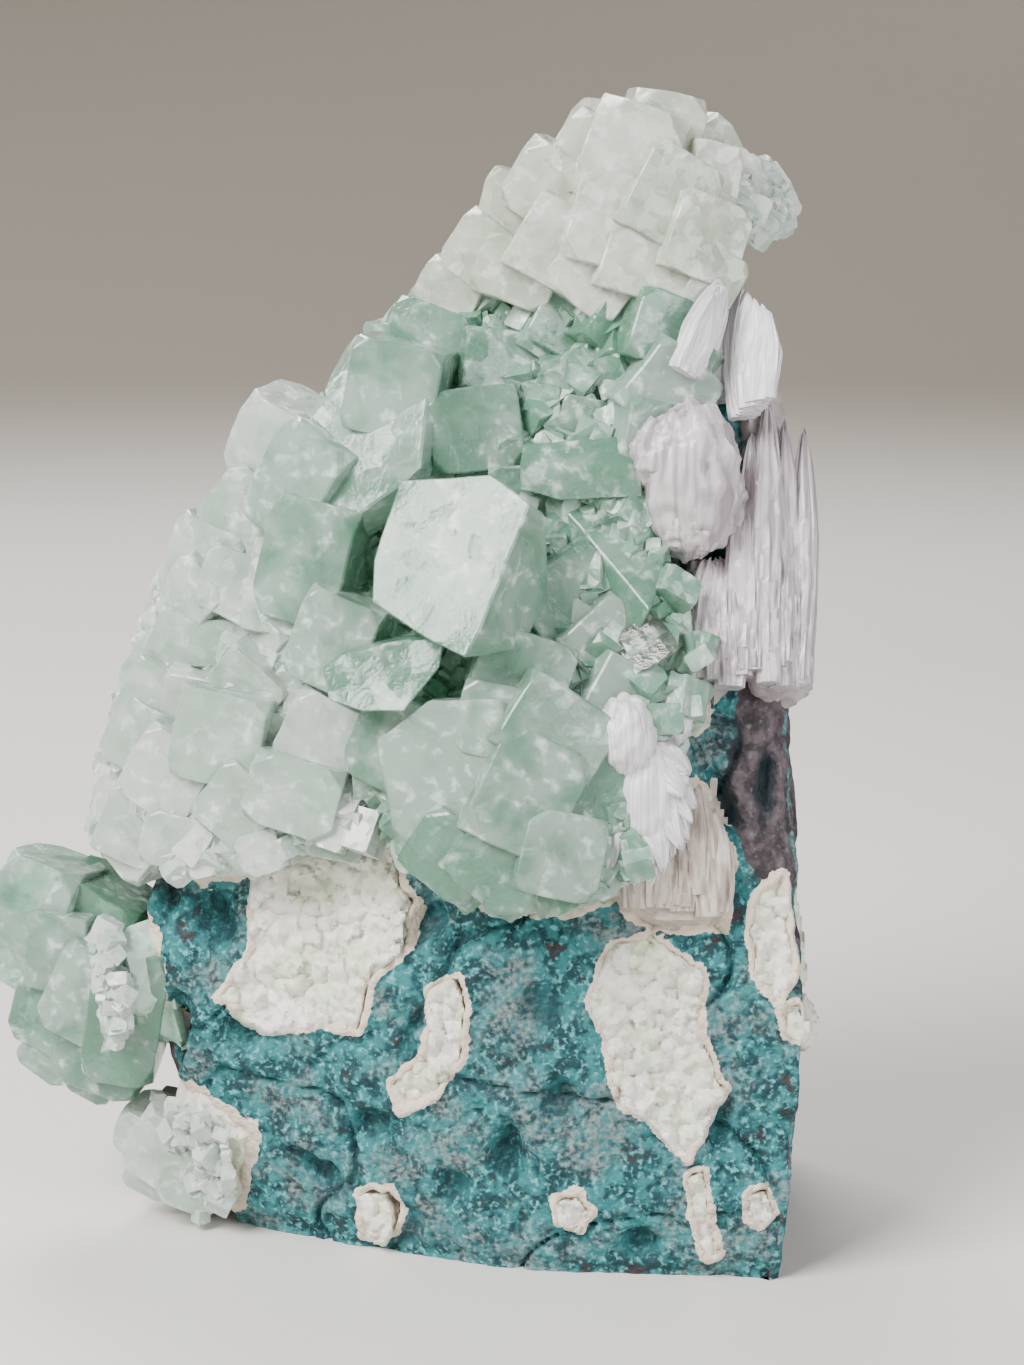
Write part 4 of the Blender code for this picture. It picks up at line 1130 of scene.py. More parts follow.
@dataclass
class Druse:
    """Hundreds of small blocky crystals scattered over a coated part of the wedge."""

    name: str
    outline: tuple
    thick: float
    far: float
    count: int
    sizes: tuple[float, float]
    finish: Finish
    slot: str
    seed: int
    sink: float = 0.2
    avoid: tuple = ()

    def template(self, rng: np.random.Generator) -> tuple[np.ndarray, np.ndarray]:
        """One unit crystal: a box of uneven sides with some corners cut, as triangles.

        Args:
            rng: source of the random sides and cuts.

        Returns:
            Points and triangles.
        """
        half = rng.uniform(0.36, 0.56, 3)
        cut = rng.uniform(0.05, 0.45)
        signs = np.array(list(itertools.product((-1.0, 1.0), repeat=3)))
        signs = np.concatenate([signs * (1.0 - np.eye(3)[k] * cut) for k in range(3)])
        bm = merged_hull(signs * half)
        bmesh.ops.triangulate(bm, faces=bm.faces)
        bm.verts.index_update()
        out = np.array([v.co for v in bm.verts]), np.array([[v.index for v in f.verts] for f in bm.faces])
        bm.free()
        return out

    def build(self) -> bpy.types.Object:
        """Make the piece: whole arrays of turned and sized copies of a few unit crystals."""
        rng = np.random.default_rng(self.seed)
        wrap = Wrap(420, 220, split=62.0, share=0.5, weights=(1.6, 1.2, 0.6, 1.6))
        points, way, normal = wrap.surface()
        size = np.linalg.norm(np.cross(np.roll(points, -1, 1) - points, np.gradient(points, axis=0)), axis=-1)
        across, down = SKETCH.seen(points)
        gap = np.maximum(outside(across, down, self.outline), (points[..., 1] - self.far) * 10.0)
        size = np.where(gap < -2.0, size, 0.0)
        for outline in self.avoid:
            size = np.where(outside(across, down, outline) < 0.0, 0.0, size)
        pick = rng.choice(size.size, self.count, p=(size / size.sum()).ravel())
        spread = rng.uniform(self.sizes[1] ** -1.5, self.sizes[0] ** -1.5, self.count) ** (-1.0 / 1.5)
        place = points.reshape(-1, 3)[pick] + rng.normal(size=(self.count, 3)) * 0.3
        place += normal.reshape(-1, 3)[pick] * (self.thick - self.sink * spread)[:, None]
        spin = rng.normal(size=(self.count, 4))
        spin /= np.linalg.norm(spin, axis=1)[:, None]
        w, x, y, z = spin.T
        turn = np.stack([1 - 2 * (y * y + z * z), 2 * (x * y - w * z), 2 * (x * z + w * y),
                         2 * (x * y + w * z), 1 - 2 * (x * x + z * z), 2 * (y * z - w * x),
                         2 * (x * z - w * y), 2 * (y * z + w * x), 1 - 2 * (x * x + y * y)], -1).reshape(-1, 3, 3)
        verts, faces, tones, count = [], [], [], 0
        kinds = 6
        for k in range(kinds):
            unit, tri = self.template(rng)
            mine = np.arange(k, self.count, kinds)
            block = np.einsum("nij,vj->nvi", turn[mine], unit) * spread[mine][:, None, None] + place[mine][:, None, :]
            verts.append(block.reshape(-1, 3))
            faces.append((tri[None] + (np.arange(len(mine)) * len(unit))[:, None, None] + count).reshape(-1, 3))
            tones.append(np.repeat(rng.random(len(mine)), len(unit)))
            count += block.shape[0] * block.shape[1]
        obj = make_piece(self.name, np.concatenate(verts), np.concatenate(faces), self.finish,
                         {"tone": np.concatenate(tones)}, 0.0)
        return obj


# --- fibrous pieces -------------------------------------------------------------------------


@dataclass(frozen=True)
class Blade:
    """Flat fibrous blade between a foot and a tip, both (across, down, back)."""

    foot: tuple
    tip: tuple
    wide: float
    thick: float
    face: float = 0.0
    tone: float = 0.5
    point: float = 0.25
    swell: float = 0.15

    def surface(self, rows: int = 36, columns: int = 28) -> tuple[np.ndarray, np.ndarray]:
        """Points and map of the blade.

        A flattened round section is carried from foot to tip; its width swells, then closes to a ragged end,
        and ribs along the length come from noise that changes quickly round the section.

        Args:
            rows: points along the blade.
            columns: points round it.

        Returns:
            Points rows by columns by three, and the map (round, along).
        """
        foot, tip = SKETCH.at(*self.foot), SKETCH.at(*self.tip)
        axis = tip - foot
        length = np.linalg.norm(axis)
        axis = axis / length
        facing_way = np.array((math.sin(self.face), -math.cos(self.face), 0.2))
        side = np.cross(axis, facing_way)
        side /= np.linalg.norm(side)
        front = np.cross(side, axis)
        t = np.linspace(0.0, 1.0, rows)[:, None]
        turn = np.linspace(0.0, 2.0 * math.pi, columns, endpoint=False)[None, :]
        close = np.clip(1.0 - t, 0.0, 1.0) ** 0.42 * smooth(-0.02, 0.03, t + 0.02)
        width = self.wide * (self.point + (1.0 - self.point) * np.sin(math.pi * np.clip(0.25 + 0.62 * t, 0, 1)) ** 0.8)
        width = width * np.minimum(close * 1.5, 1.0)
        seed = np.array((self.tone * 31.0, 4.0 + self.foot[0] * 0.1, self.foot[1] * 0.1))
        rib_at = np.stack([np.cos(turn) * 4.2 + 0 * t, np.sin(turn) * 1.6 + 0 * t, 0 * turn + t * length / 7.0], -1)
        rib = GRAIN.layered(rib_at + seed, 3, 0.6)
        ragged = 0.9 * GRAIN.soft(np.stack([np.cos(turn) * 5.0 + 0 * t, 0 * t + 0 * turn, 0 * t + 0 * turn], -1) + seed)
        square = np.sign(np.cos(turn)) * np.abs(np.cos(turn)) ** 0.6
        out = foot + axis * (t * length * (1.0 + 0.06 * ragged * t))[..., None]
        out = out + side * (square * width / 2.0 * (1.0 + 0.10 * rib))[..., None]
        depth = self.thick * np.minimum(close * 1.3, 1.0) * (1.0 + self.swell * np.sin(math.pi * t))
        out = out + front * (np.sin(turn) * depth / 2.0 * (1.0 + 0.45 * rib))[..., None]
        uv = np.stack([turn / (2.0 * math.pi) + 0 * t, t + 0 * turn], -1)
        return out, uv


@dataclass
class Sheaf:
    """Several blades and round lobes grown together, in one piece."""

    name: str
    blades: list
    lobes: list
    finish: Finish
    slot: str

    def lobe(self, spec: tuple, rows: int = 40, columns: int = 56) -> tuple[np.ndarray, np.ndarray]:
        """Round lump: a stretched ball whose radius follows cells and radiating noise.

        Args:
            spec: across, down, back, radius, and stretch along the three axes.
            rows: points from pole to pole.
            columns: points round.

        Returns:
            Points and map.
        """
        across, down, back, radius, stretch, rough = spec
        v = np.linspace(0.02, math.pi - 0.02, rows)[:, None]
        u = np.linspace(0.0, 2.0 * math.pi, columns, endpoint=False)[None, :]
        way = np.stack([np.sin(v) * np.cos(u), np.sin(v) * np.sin(u), np.cos(v) + 0 * u], -1)
        near, owner = GRAIN.cells(way * 2.6 + np.array((across, down, 3.0)) * 0.13)
        lump = 1.0 - rough * near + 0.5 * rough * GRAIN.layered(way * 4.0 + across * 0.1, 3)
        points = SKETCH.at(across, down, back) + way * np.array(stretch) * radius * lump[..., None]
        return points, np.stack([u / (2.0 * math.pi) + 0 * v, v / math.pi + 0 * u], -1)

    def build(self) -> bpy.types.Object:
        """Make the piece: every grid closed by a point at each end."""
        verts, faces, maps, tones, count = [], [], [], [], 0
        grids = [(*b.surface(), b.tone) for b in self.blades] + [(*self.lobe(s), 0.4) for s in self.lobes]
        for points, uv, tone in grids:
            rows, columns = points.shape[:2]
            flip = ((np.cross(points[rows // 2, 1] - points[rows // 2, 0], points[rows // 2 + 1, 0] - points[rows // 2, 0])
                     @ (points[rows // 2, 0] - points[rows // 2].mean(0))) < 0.0)
            ring = np.arange(columns)
            ahead = np.roll(ring, -1)
            last = (rows - 1) * columns
            quads = grid_faces(rows, columns, True)
            low = np.stack([ahead, ring, np.full(columns, rows * columns)], -1)
            high = np.stack([last + ring, last + ahead, np.full(columns, rows * columns + 1)], -1)
            if flip:
                quads, low, high = quads[:, ::-1], low[:, ::-1], high[:, ::-1]
            verts.append(np.concatenate([points.reshape(-1, 3), points[0].mean(0)[None], points[-1].mean(0)[None]]))
            maps.append(np.concatenate([uv.reshape(-1, 2), uv[0].mean(0)[None], uv[-1].mean(0)[None]]))
            faces += (quads + count).tolist() + (low + count).tolist() + (high + count).tolist()
            tones.append(np.full(rows * columns + 2, tone))
            count += rows * columns + 2
        obj = make_piece(self.name, np.concatenate(verts), faces, self.finish, {"tone": np.concatenate(tones)}, 50.0,
                         np.concatenate(maps))
        return obj


@dataclass
class FillingPiece:
    """Granular filling of one vein pocket: a sheet over the pocket that dips into the rock at its border."""

    name: str
    outline: tuple
    sunk: float = 0.5
    step: float = 2.6

    def build(self) -> bpy.types.Object:
        """Make the filling: the wedge's depth at each place, sunk and heaped by cells, closed behind."""
        corners = np.array(self.outline, float)
        low, high = corners.min(0) - 12.0, corners.max(0) + 12.0
        columns, rows = (np.ceil((high - low) / self.step).astype(int) + 1)
        across, down = np.meshgrid(np.linspace(low[0], high[0], columns), np.linspace(low[1], high[1], rows))
        flat = SKETCH.at(across, down, core_depth(across, down))
        gap = outside(across, down, self.outline) + 3.0 * GRAIN.layered(flat / 2.2 + 31.0, 3)
        near, owner = GRAIN.cells(flat / 1.5 + 4.0)
        small, _ = GRAIN.cells(flat / 0.7 + 8.0)
        heap = self.sunk + 0.9 * near + 0.8 * owner + 0.3 * small + 0.9 * smooth(-4.0, -40.0, gap)
        depth = core_depth(across, down) + heap + 2.8 * smooth(1.0, 9.0, gap)
        points = SKETCH.at(across, down, depth)
        faces = grid_faces(rows, columns)
        keep = (gap.ravel()[faces] < 9.0).any(1)
        verts, quads = walled(points.reshape(-1, 3), faces[keep][:, ::-1], np.tile((0.0, 1.2, 0.0), (points.size // 3, 1)))
        obj = make_piece(self.name + "_grains", verts, quads, FILLING, {"tone": np.full(len(verts), 0.3)}, 35.0)
        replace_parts(obj, self.name)
        return obj


# --- the cluster ----------------------------------------------------------------------------

GREEN_BLOCKS = (
    (402, 388, -4.0, 9, 9, 9, 0, 12, -12, 0.1), (318, 484, -3.0, 8.0, 11, 11, -8, 30, -30, 0.14),
    (320, 560, -6.5, 9, 9, 12, -5, 12, -20, 0.14), (470, 430, -4.5, 9, 9, 8, -6, -6, 8, 0.12),
    (500, 370, -1.5, 9, 8, 7, -8, 10, 14, 0.14), (430, 345, 1.0, 8, 8, 7, -12, 20, -10, 0.12),
    (560, 330, -0.5, 7.5, 8, 6.5, -10, 30, 12, 0.12), (610, 326, -2.5, 7, 7, 7, -6, 38, 25, 0.1),
    (655, 335, -4.5, 8, 8, 7, -8, 20, 20, 0.12), (660, 390, -6.5, 8, 8, 8, 0, 40, 15, 0.12),
    (640, 430, -7.5, 7, 8, 6, 0, 12, 25, 0.1), (582, 416, -6.0, 4.2, 5, 4, 0, 10, 0, 0.1),
    (560, 600, -12.0, 9, 8, 9, -5, -30, 20, 0.1),
    (610, 690, -16.0, 6.5, 7, 6.5, 0, 30, 20, 0.04), (668, 700, -14.0, 5, 6, 7, 0, 35, 20, 0.05),
    (345, 640, -11.0, 8, 8, 9, -5, 20, -20, 0.12),
    (405, 740, -15.5, 8, 8, 9, -6, 20, -20, 0.15),
    (520, 665, -17.5, 9, 8, 6.5, -5, 20, 5, 0.12), (545, 730, -20.0, 10, 9, 8, -8, 35, 12, 0.12),
    (580, 780, -19.5, 9, 8, 9, -4, 12, 20, 0.14), (520, 790, -21.5, 9, 9, 11, -6, 25, 8, 0.15),
    (420, 344, 10.5, 8, 9, 7, 0, 38, -10, 0.14), (378, 384, 12.0, 8, 9, 7, 0, 30, 12, 0.14),
    (500, 858, -22.0, 9, 8, 8, -6, 40, 0, 0.16), (552, 850, -22.0, 8, 8, 8, -4, 15, 14, 0.14),
    (584, 846, -19.5, 7, 8, 8, -2, 30, 20, 0.12), (455, 850, -20.5, 8, 8, 7, -4, 35, -10, 0.15),
    (600, 640, -14.0, 7, 7, 7, -5, 50, 10, 0.1), (500, 720, -20.0, 7, 7, 7, -8, 10, -8, 0.12),
)
OUTLIER_BLOCKS = (
    (50, 902, 1.0, 8.5, 9, 9.5, -6, 14, -20, 0.16), (66, 945, -2.0, 6, 7, 8, 0, 8, -10, 0.05),
    (96, 920, 1.0, 9, 9, 9, 0, 30, -15, 0.12), (60, 1000, 0.0, 7, 8, 8, 6, 20, -15, 0.14),
    (104, 985, -2.5, 9, 9, 10, 4, 25, -10, 0.12), (62, 1040, 1.0, 6, 7, 6, 8, 35, -10, 0.12),
    (112, 1044, -1.0, 9, 9, 7, 10, 20, -10, 0.14), (132, 1000, -1.0, 7.5, 12, 14, 4, 10, 0, 0.12),
    (98, 1070, 1.0, 5, 6, 4, 10, 30, 0, 0.14), (30, 940, 3.0, 6, 7, 8, 0, 20, -25, 0.12),
)
FOOT_BLOCKS = (
    (172, 1140, -3.5, 7, 7, 7.5, 6, 30, -14, 0.14), (196, 1176, -4.5, 6, 6, 5, 8, 20, -10, 0.14),
    (150, 1126, -1.0, 5, 6, 5, 8, 20, -20, 0.12), (205, 1130, -5.5, 5, 5, 5, 0, 30, -10, 0.14),
    (160, 1166, -1.0, 5, 6, 4, 8, 20, -20, 0.12),
)
SUMMIT_BLOCKS = (
    (628, 160, -1.5, 9, 9, 10, -6, 20, 0, 0.2), (660, 130, 1.0, 7, 8, 7, 0, 10, 10, 0.16),
    (594, 154, 1.0, 6.6, 8, 6.6, 0, 35, -10, 0.16), (556, 188, 1.5, 8, 9, 7.4, 0, 30, -12, 0.16),
    (520, 206, 3.0, 6, 8, 6.4, 0, 15, -15, 0.14), (494, 252, 3.0, 7, 9, 6.4, 0, 35, -15, 0.14),
    (460, 290, 4.0, 6.4, 9, 5.4, 0, 25, -15, 0.14), (560, 250, -2.0, 9, 8, 8, -6, 30, 0, 0.14),
    (610, 225, -3.0, 9, 8, 9, -6, 15, 8, 0.14), (660, 200, -3.0, 8, 8, 9, -4, 30, 14, 0.12),
    (690, 240, -3.0, 8, 8, 8, -4, 20, 24, 0.12), (640, 270, -4.0, 9, 7, 6, -6, 20, 8, 0.14),
    (520, 275, -0.5, 8, 8, 6, -6, 20, -8, 0.14), (698, 190, 0.0, 5, 8, 9, 0, 12, 20, 0.12),
    (590, 280, -3.0, 8, 7, 6, -6, 40, 0, 0.14), (705, 280, -3.5, 5, 6, 6, 0, 30, 20, 0.12),
    (612, 152, 10.0, 9, 9, 7, 5, 30, 20, 0.14), (556, 204, 11.0, 9, 9, 7, 5, 30, 10, 0.14),
    (655, 140, 9.0, 8, 8, 6, 0, 12, 30, 0.14), (500, 258, 11.5, 9, 9, 7, 0, 38, 15, 0.14),
    (456, 304, 12.0, 8, 8, 6, 0, 30, -10, 0.14), (700, 158, 8.0, 6, 8, 7, 0, -30, 20, 0.14),
)
PALE_BLOCKS = (
    (262, 516, 0.0, 8.5, 9, 8, -6, 38, -24, 0.12), (222, 560, 1.0, 8, 9, 8, -4, 20, -24, 0.1),
    (176, 664, 0.0, 6, 8, 7, 0, 40, -25, 0.1), (142, 790, 0.0, 6, 8, 8, 0, 20, -25, 0.12),
    (228, 735, -9.5, 9, 8, 9, -4, 10, -12, 0.12), (180, 770, -7.5, 8, 8, 8, -2, 30, -18, 0.12),
    (300, 790, -13.0, 9, 8, 7, -2, 15, -8, 0.14), (245, 800, -11.5, 7, 7, 7, 0, 38, -10, 0.1),
    (330, 735, -11.0, 8, 8, 8, -4, 25, -12, 0.14), (190, 834, -9.0, 8, 7, 5.5, 4, 12, -10, 0.12),
)
SLOPE_PLACES = ((284, 506, 12), (252, 546, 14), (222, 596, 12), (196, 650, 15), (180, 706, 12), (164, 764, 15),
                (330, 446, 14))
PALE_ROWS = (
    (590, (206, 246, 290)), (640, (186, 225, 268, 305)), (690, (168, 208, 254, 300)),
    (740, (156, 276)), (820, (146, 230, 285, 340)), (440, (284,)), (846, (142,)),
)

SHAPED_GREEN = (
    Shaped((
        Facet(((400, 480), (490, 474), (530, 502), (480, 628), (466, 657), (430, 641), (371, 602), (374, 560)),
              ((530, 502, -21.0), (480, 628, -25.2), (374, 560, -17.8))),
        Facet(((530, 502), (545, 515), (548, 598), (521, 649), (482, 656), (480, 628)),
              ((530, 502, -21.0), (480, 628, -25.2), (548, 598, -18.2))),
    ), 11.0, 0.72, 2.0, 0.35),
    Shaped((
        Facet(((352, 372), (420, 352), (428, 392), (420, 470), (360, 500), (292, 560), (272, 520), (300, 428)),
              ((352, 372, -4.0), (428, 392, -9.0), (292, 560, -9.5))),
        Facet(((428, 392), (420, 470), (360, 500), (292, 560), (330, 560), (400, 520), (436, 470), (440, 410)),
              ((428, 392, -9.0), (292, 560, -9.5), (436, 470, -8.0))),
    ), 12.0, 0.8, 0.0, 0.7),
    Shaped((
        Facet(((524, 444), (632, 436), (640, 470), (600, 474), (520, 466)), ((524, 444, -11.0), (632, 436, -11.0), (600, 474, -13.4))),
        Facet(((520, 466), (600, 474), (640, 470), (642, 496), (560, 500), (520, 490)), ((520, 466, -13.2), (640, 470, -13.2), (560, 500, -13.0))),
    ), 7.0, 0.9, 0.0, 0.1),
    Shaped((
        Facet(((556, 498), (640, 508), (668, 560), (650, 610), (600, 560)), ((556, 498, -11.0), (668, 560, -13.5), (600, 560, -14.8))),
        Facet(((556, 498), (600, 560), (650, 610), (640, 628), (598, 650), (552, 600), (545, 530)), ((556, 498, -11.0), (600, 560, -14.8), (598, 650, -14.5))),
    ), 9.0, 0.85, 0.0, 0.2),
    Shaped((
        Facet(((322, 668), (345, 650), (402, 640), (446, 636), (440, 668), (404, 712), (362, 712), (328, 700)),
              ((345, 650, -19.0), (446, 636, -20.5), (362, 712, -21.5))),
    ), 8.0, 0.8, 0.0, 0.1),
    Shaped((
        Facet(((376, 742), (430, 700), (500, 700), (512, 760), (500, 850), (440, 872), (392, 828)),
              ((430, 700, -22.0), (512, 760, -24.5), (440, 872, -23.4))),
        Facet(((500, 700), (512, 760), (500, 850), (540, 820), (548, 740), (530, 705)),
              ((500, 700, -22.6), (500, 850, -24.2), (548, 740, -21.5))),
    ), 9.0, 0.85, 0.0, 0.9),
)
CLEAR_CUBE = Shaped((
    Facet(((601, 648), (643, 615), (674, 654), (631, 679)), ((601, 648, -17.2), (643, 615, -17.6), (631, 679, -19.4))),
    Facet(((643, 615), (657, 602), (686, 643), (674, 654)), ((643, 615, -17.6), (674, 654, -19.0), (686, 643, -17.2))),
), 6.0, 0.95, 0.0, 0.2)


def with_tones(specs: tuple, seed: int) -> list:
    """Blocks paired with a seeded tone each.

    Args:
        specs: block specs.
        seed: fixes the tones.

    Returns:
        Pairs of hull points and tone.
    """
    rng = np.random.default_rng(seed)
    return [(block_points(s), float(rng.random())) for s in specs]


def pale_specs() -> list:
    """Blocks of the pale druse: the placed ones, loose rows, and the slope at the left."""
    rng = np.random.default_rng(7)
    specs = list(PALE_BLOCKS)
    for down, places in PALE_ROWS:
        for across in places:
            back = 9.5 - 0.030 * (across - 60) - 0.0265 * (down - 330)
            size = rng.uniform(5.2, 7.6)
            specs.append((across + rng.uniform(-8, 8), down + rng.uniform(-8, 8), back, size, size * 1.15,
                          size * rng.uniform(0.8, 1.2), rng.uniform(-20, 15), rng.uniform(0, 45), rng.uniform(-40, 5),
                          rng.uniform(0.05, 0.16)))
    for across, down, back in SLOPE_PLACES:
        size = rng.uniform(6.5, 8.5)
        specs.append((across, down, back, size, size, size, rng.uniform(-20, 20), rng.uniform(10, 50), -30, 0.12))
    return specs


@dataclass
class Cluster:
    """The whole part, sub-assembly by sub-assembly."""

    def green(self) -> None:
        """Green apophyllite: bed, large crystals, small druse and the clear cube."""
        bed = Bed("green_bed", GREEN_AREA, 4.6, 14.0, GREEN_BED, "apophyllite").build()
        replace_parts(bed, "apophyllite_crystals")
        solids = with_tones(GREEN_BLOCKS, 5) + [(s.points(), s.tone) for s in SHAPED_GREEN]
        CrystalGroup("green_crystals", solids, GREEN, "apophyllite").build()
        CrystalGroup("clear_cube", [(CLEAR_CUBE.points(), 0.3)],
                     CrystalFinish("clear_apophyllite", srgb(206, 206, 200), srgb(176, 178, 170), clear=0.92, rough=0.06,
                                   lean=0.04, density=20.0, absorb=(0.8, 0.82, 0.78)), "apophyllite", 0.22).build()
        Druse("green_druse", GREEN_AREA, 4.4, 14.0, 1500, (1.4, 4.2), GREEN_SUGAR, "apophyllite", 3).build()

    def pale(self) -> None:
        """Pale sugary druse down the left slope."""
        bed = Bed("pale_bed", PALE_AREA, 3.8, 18.4, PALE_BED, "pale_crystal").build()
        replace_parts(bed, "pale_druse")
        CrystalGroup("pale_crystals", with_tones(tuple(pale_specs()), 11), PALE, "pale_crystal", 0.12, 1.5, 0.2).build()
        Druse("pale_sugar", PALE_AREA, 4.2, 18.4, 2600, (1.1, 4.4), PALE_SUGAR, "pale_crystal", 13).build()

    def summit(self) -> None:
        """Pale crystals at the top."""
        bed = Bed("summit_bed", SUMMIT_AREA, 3.9, 13.0, SUMMIT_BED, "pale_crystal").build()
        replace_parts(bed, "summit_crystals")
        CrystalGroup("summit_blocks", with_tones(SUMMIT_BLOCKS, 17), SUMMIT, "pale_crystal", 0.12, 1.5, 0.2).build()
        Druse("summit_sugar", SUMMIT_AREA, 4.6, 13.0, 1500, (1.0, 4.2), PALE_SUGAR, "pale_crystal", 19).build()

    def outliers(self) -> None:
        """Cluster at the far left and the pale foot."""
        bed = Bed("outlier_bed", OUTLIER_AREA, 2.2, 12.0, GREEN_BED, "apophyllite").build()
        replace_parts(bed, "outlier_crystals")
        CrystalGroup("outlier_blocks", with_tones(OUTLIER_BLOCKS, 23), GREEN, "apophyllite", 0.14, 1.2, 0.15).build()
        Druse("outlier_sugar", OUTLIER_AREA, 3.4, 12.0, 260, (1.0, 3.0), PALE_SUGAR, "apophyllite", 29).build()
        bed = Bed("foot_bed", FOOT_AREA, 0.8, 6.0, FILLING, "filling").build()
        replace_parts(bed, "foot_filling")
        CrystalGroup("foot_blocks", with_tones(FOOT_BLOCKS, 31), PALE, "filling", 0.12, 1.2, 0.2).build()
        Druse("foot_sugar", FOOT_AREA, 1.4, 6.0, 220, (0.9, 2.4), PALE_SUGAR, "filling", 37).build()

    def blades(self) -> None:
        """Two sprays of white blades leaning together."""
        rng = np.random.default_rng(43)
        out = []
        for i in range(10):
            k = i * 0.4
            out.append(Blade((694 - 4 * k + rng.uniform(-6, 6), 372, -8.5 - 0.9 * k), (725 - 2 * k + rng.uniform(-4, 4),
                       262 + 9 * k, -3.5 - 1.5 * k), 3.2, 1.1, 0.25 + 0.12 * k, float(rng.random())))
        for i in range(10):
            k = i * 0.4
            out.append(Blade((745 + 5 * k + rng.uniform(-5, 5), 418 - 5 * k, -9.5 - 0.6 * k), (738 + 8 * k + rng.uniform(-3, 3),
                       284 + 8 * k, -3.0 - 1.5 * k), 3.4, 1.1, -0.35 - 0.15 * k, float(rng.random())))
        out.append(Blade((722, 400, -6.5), (726, 272, -1.0), 8.0, 2.6, 0.0, 0.3))
        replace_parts(Sheaf("blade_sprays", out, [], STILBITE, "stilbite").build(), "stilbite_blades")

    def ball(self) -> None:
        """Lilac-white ball under the blades."""
        lobes = [(690, 480, -11.0, 7.2, (0.74, 0.8, 1.12), 0.16), (668, 456, -11.5, 4.2, (1, 0.9, 1), 0.2),
                 (716, 500, -10.5, 4.0, (0.8, 0.9, 1.2), 0.2), (690, 528, -12.5, 3.4, (1, 0.9, 0.9), 0.2)]
        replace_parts(Sheaf("stilbite_lobes", [], lobes, LILAC, "stilbite").build(), "stilbite_ball")

    def crust(self) -> None:
        """Grey-lilac crust of upright plates at the right, and the beige ledge below the fan."""
        rng = np.random.default_rng(47)
        bed = Bed("crust_bed", CRUST_AREA, 1.5, -1.0, SugarFinish("crust_bed", srgb(176, 166, 168), srgb(150, 140, 142)),
                  "crust", 2.0, 0.8).build()
        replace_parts(bed, "stilbite_crust")
        out = []
        for i in range(22):
            across = 702 + 4.6 * i + rng.uniform(-4, 4)
            top = 560 if across < 738 else rng.uniform(396, 470)
            low = rng.uniform(650, 690)
            if across > 738 and i % 2:
                top += 110
            foot = float(core_depth(across, low)) - 1.0
            out.append(Blade((across, low, foot), (across + rng.uniform(-6, 8), top, foot + 0.037 * (low - top)),
                       3.4, 2.6, rng.uniform(-0.5, 0.5), float(rng.random())))
        Sheaf("crust_plates", out, [], LILAC, "crust").build()
        bed = Bed("ledge_bed", LEDGE_AREA, 1.4, 4.0, SugarFinish("ledge_bed", srgb(196, 186, 176), srgb(166, 156, 146)),
                  "crust", 2.0, 0.8).build()
        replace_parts(bed, "stilbite_ledge")
        out = []
        for i in range(12):
            across = 636 + 7.4 * i + rng.uniform(-3, 3)
            out.append(Blade((across, rng.uniform(890, 916), -20.0), (across + rng.uniform(-4, 8), rng.uniform(785, 812), -18.4),
                       3.4, 2.4, rng.uniform(-0.4, 0.4), float(rng.random())))
        Sheaf("ledge_plates", out, [], BEIGE, "crust").build()

    def fan(self) -> None:
        """White fan spreading down from one foot, with pearly lobes on top."""
        rng = np.random.default_rng(53)
        bed = Bed("fan_bed", FAN_AREA, 1.7, 2.0, PALE_BED, "stilbite", 2.0, 0.8).build()
        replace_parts(bed, "stilbite_fan")
        rim = np.array([(684, 760), (692, 806), (684, 842), (664, 872), (636, 886), (608, 874), (590, 848)], float)
        out = []
        for i in range(26):
            t = i / 25.0 * (len(rim) - 1)
            k = min(int(t), len(rim) - 2)
            across, down = rim[k] + (rim[k + 1] - rim[k]) * (t - k) + rng.uniform(-5, 5, 2)
            out.append(Blade((640 + rng.uniform(-6, 6), 752, -18.5), (across, down, -23.0 + rng.uniform(0, 1.6)), 3.4, 3.0,
                       rng.uniform(-0.4, 0.4), float(rng.random()), 0.2))
        lobes = [(626, 735, -20.5, 4.0, (0.75, 0.9, 1.0), 0.12), (673, 716, -17.0, 3.0, (0.7, 1.0, 1.0), 0.12),
                 (648, 800, -20.0, 5.6, (0.7, 0.6, 1.2), 0.15)]
        Sheaf("fan_blades", out, lobes, STILBITE, "stilbite").build()

    def build(self) -> None:
        """Make every piece."""
        BasaltPiece().build()
        self.green()
        self.pale()
        self.summit()
        self.outliers()
        self.blades()
        self.ball()
        self.crust()
        self.fan()
        for name, outline in FILLINGS.items():
            FillingPiece(name, outline).build()


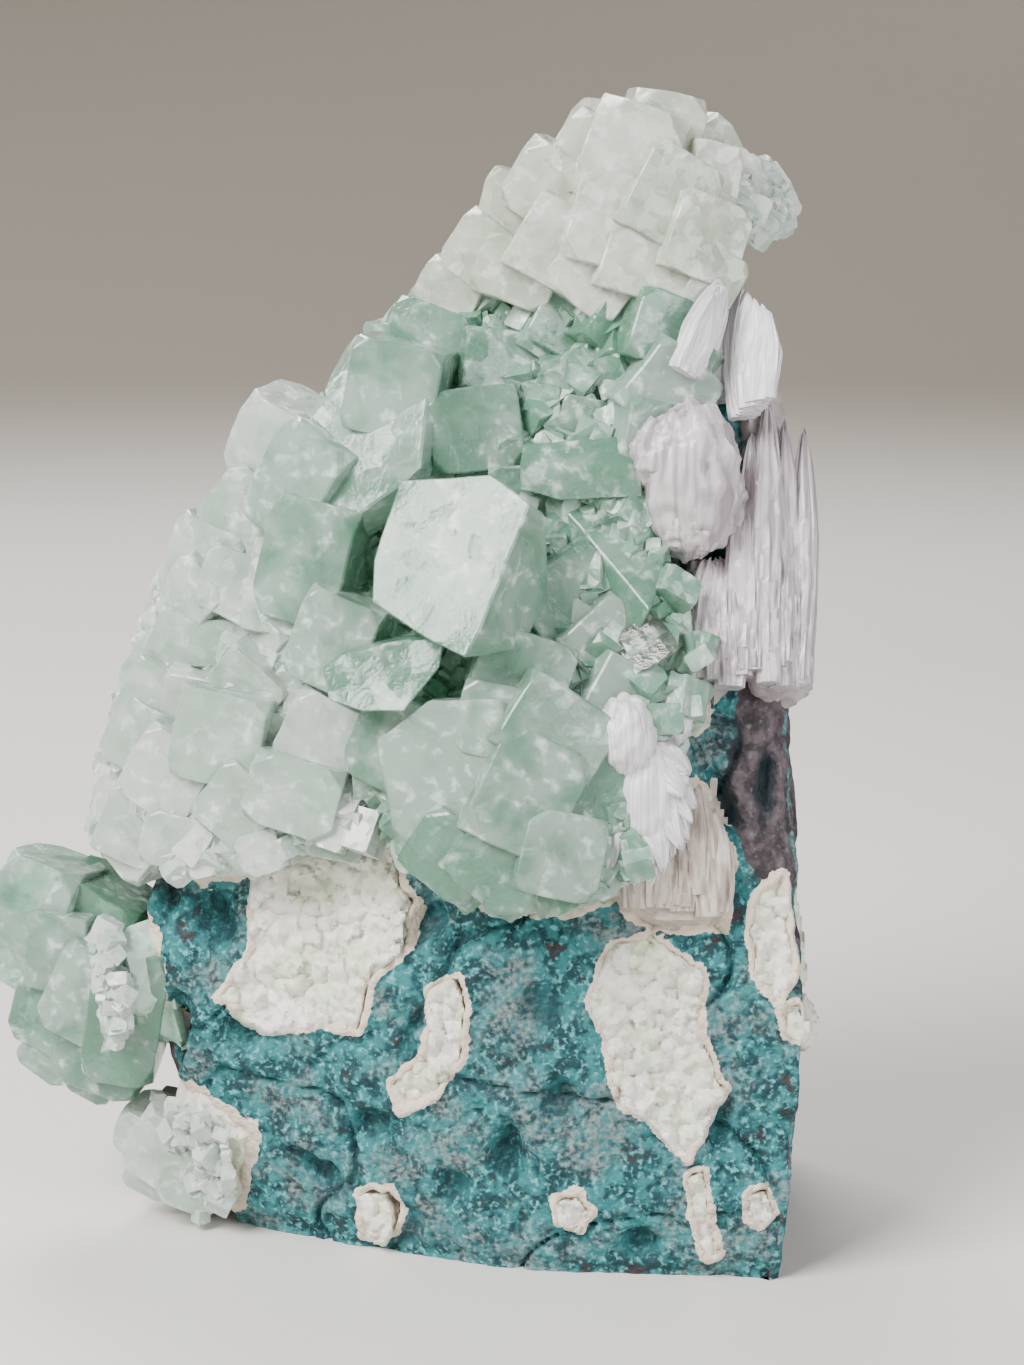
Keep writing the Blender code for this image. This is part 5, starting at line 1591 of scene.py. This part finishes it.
@dataclass
class Studio:
    """Pale floor that curves up into a wall all round, soft lights and the camera."""

    flat: float = 0.36
    rise: float = 0.30
    wall: float = 0.34

    def floor(self) -> None:
        """Surface of revolution: flat disc, quarter-round sweep, then an upright wall."""
        bend = np.linspace(0.0, math.pi / 2.0, 14)
        reach = np.concatenate([[0.001, 0.12, 0.24], self.flat + self.rise * np.sin(bend), [self.flat + self.rise]])
        height = np.concatenate([[0.0, 0.0, 0.0], self.rise * (1.0 - np.cos(bend)) * 0.8, [self.wall]])
        turn = np.linspace(0.0, 2.0 * math.pi, 96, endpoint=False)
        points = np.stack([reach[:, None] * np.cos(turn), reach[:, None] * np.sin(turn), height[:, None] + 0 * turn], -1)
        mesh = bpy.data.meshes.new("floor")
        faces = grid_faces(len(reach), 96, True)[:, ::-1]
        mesh.from_pydata(points.reshape(-1, 3).tolist(), [], faces.tolist() + [list(range(95, -1, -1))[::-1]])
        mesh.polygons.foreach_set("use_smooth", [True] * len(mesh.polygons))
        obj = bpy.data.objects.new("floor", mesh)
        bpy.context.scene.collection.objects.link(obj)
        obj.data.materials.append(STUDIO.material())

    def lamp(self, name: str, place: tuple, aim: tuple, size: float, power: float, colour: tuple) -> None:
        """Square area light.

        Args:
            name: name of the light.
            place: where it hangs, in metres.
            aim: where it points.
            size: side in metres.
            power: in watts.
            colour: linear colour.
        """
        light = bpy.data.lights.new(name, "AREA")
        light.size, light.energy, light.color = size, power, colour
        obj = bpy.data.objects.new(name, light)
        obj.location = place
        obj.rotation_euler = (Vector(aim) - Vector(place)).to_track_quat("-Z", "Y").to_euler()
        bpy.context.scene.collection.objects.link(obj)

    def camera(self) -> None:
        """Camera at the sketch's viewpoint."""
        data = bpy.data.cameras.new("camera")
        data.sensor_fit = "VERTICAL"
        data.angle = 2.0 * math.atan(68.25 / SKETCH.distance)
        data.clip_start, data.clip_end = 0.01, 20.0
        obj = bpy.data.objects.new("camera", data)
        obj.location = (SKETCH.eye + RECENTRE) * MM
        obj.rotation_euler = Vector(SKETCH.forward).to_track_quat("-Z", "Y").to_euler()
        bpy.context.scene.collection.objects.link(obj)
        bpy.context.scene.camera = obj

    def build(self) -> None:
        """Set the stage."""
        self.camera()
        self.floor()
        middle = (0.01, 0.0, 0.05)
        self.lamp("window", (-0.34, -0.30, 0.46), middle, 0.34, 9.0, (1.0, 0.99, 0.97))
        self.lamp("fill", (0.36, -0.34, 0.26), middle, 0.30, 2.2, (0.95, 0.97, 1.0))
        self.lamp("back", (-0.10, 0.36, 0.44), middle, 0.26, 3.0, (1.0, 1.0, 1.0))
        world = bpy.data.worlds.new("room")
        world.use_nodes = True
        world.node_tree.nodes["Background"].inputs[0].default_value = (0.55, 0.54, 0.52, 1.0)
        world.node_tree.nodes["Background"].inputs[1].default_value = 0.5
        bpy.context.scene.world = world


def main() -> None:
    """Build the cluster and its stage."""
    logging.basicConfig(level=logging.INFO, format="%(message)s")
    Studio().build()
    Cluster().build()


if __name__ == "__main__":
    main()
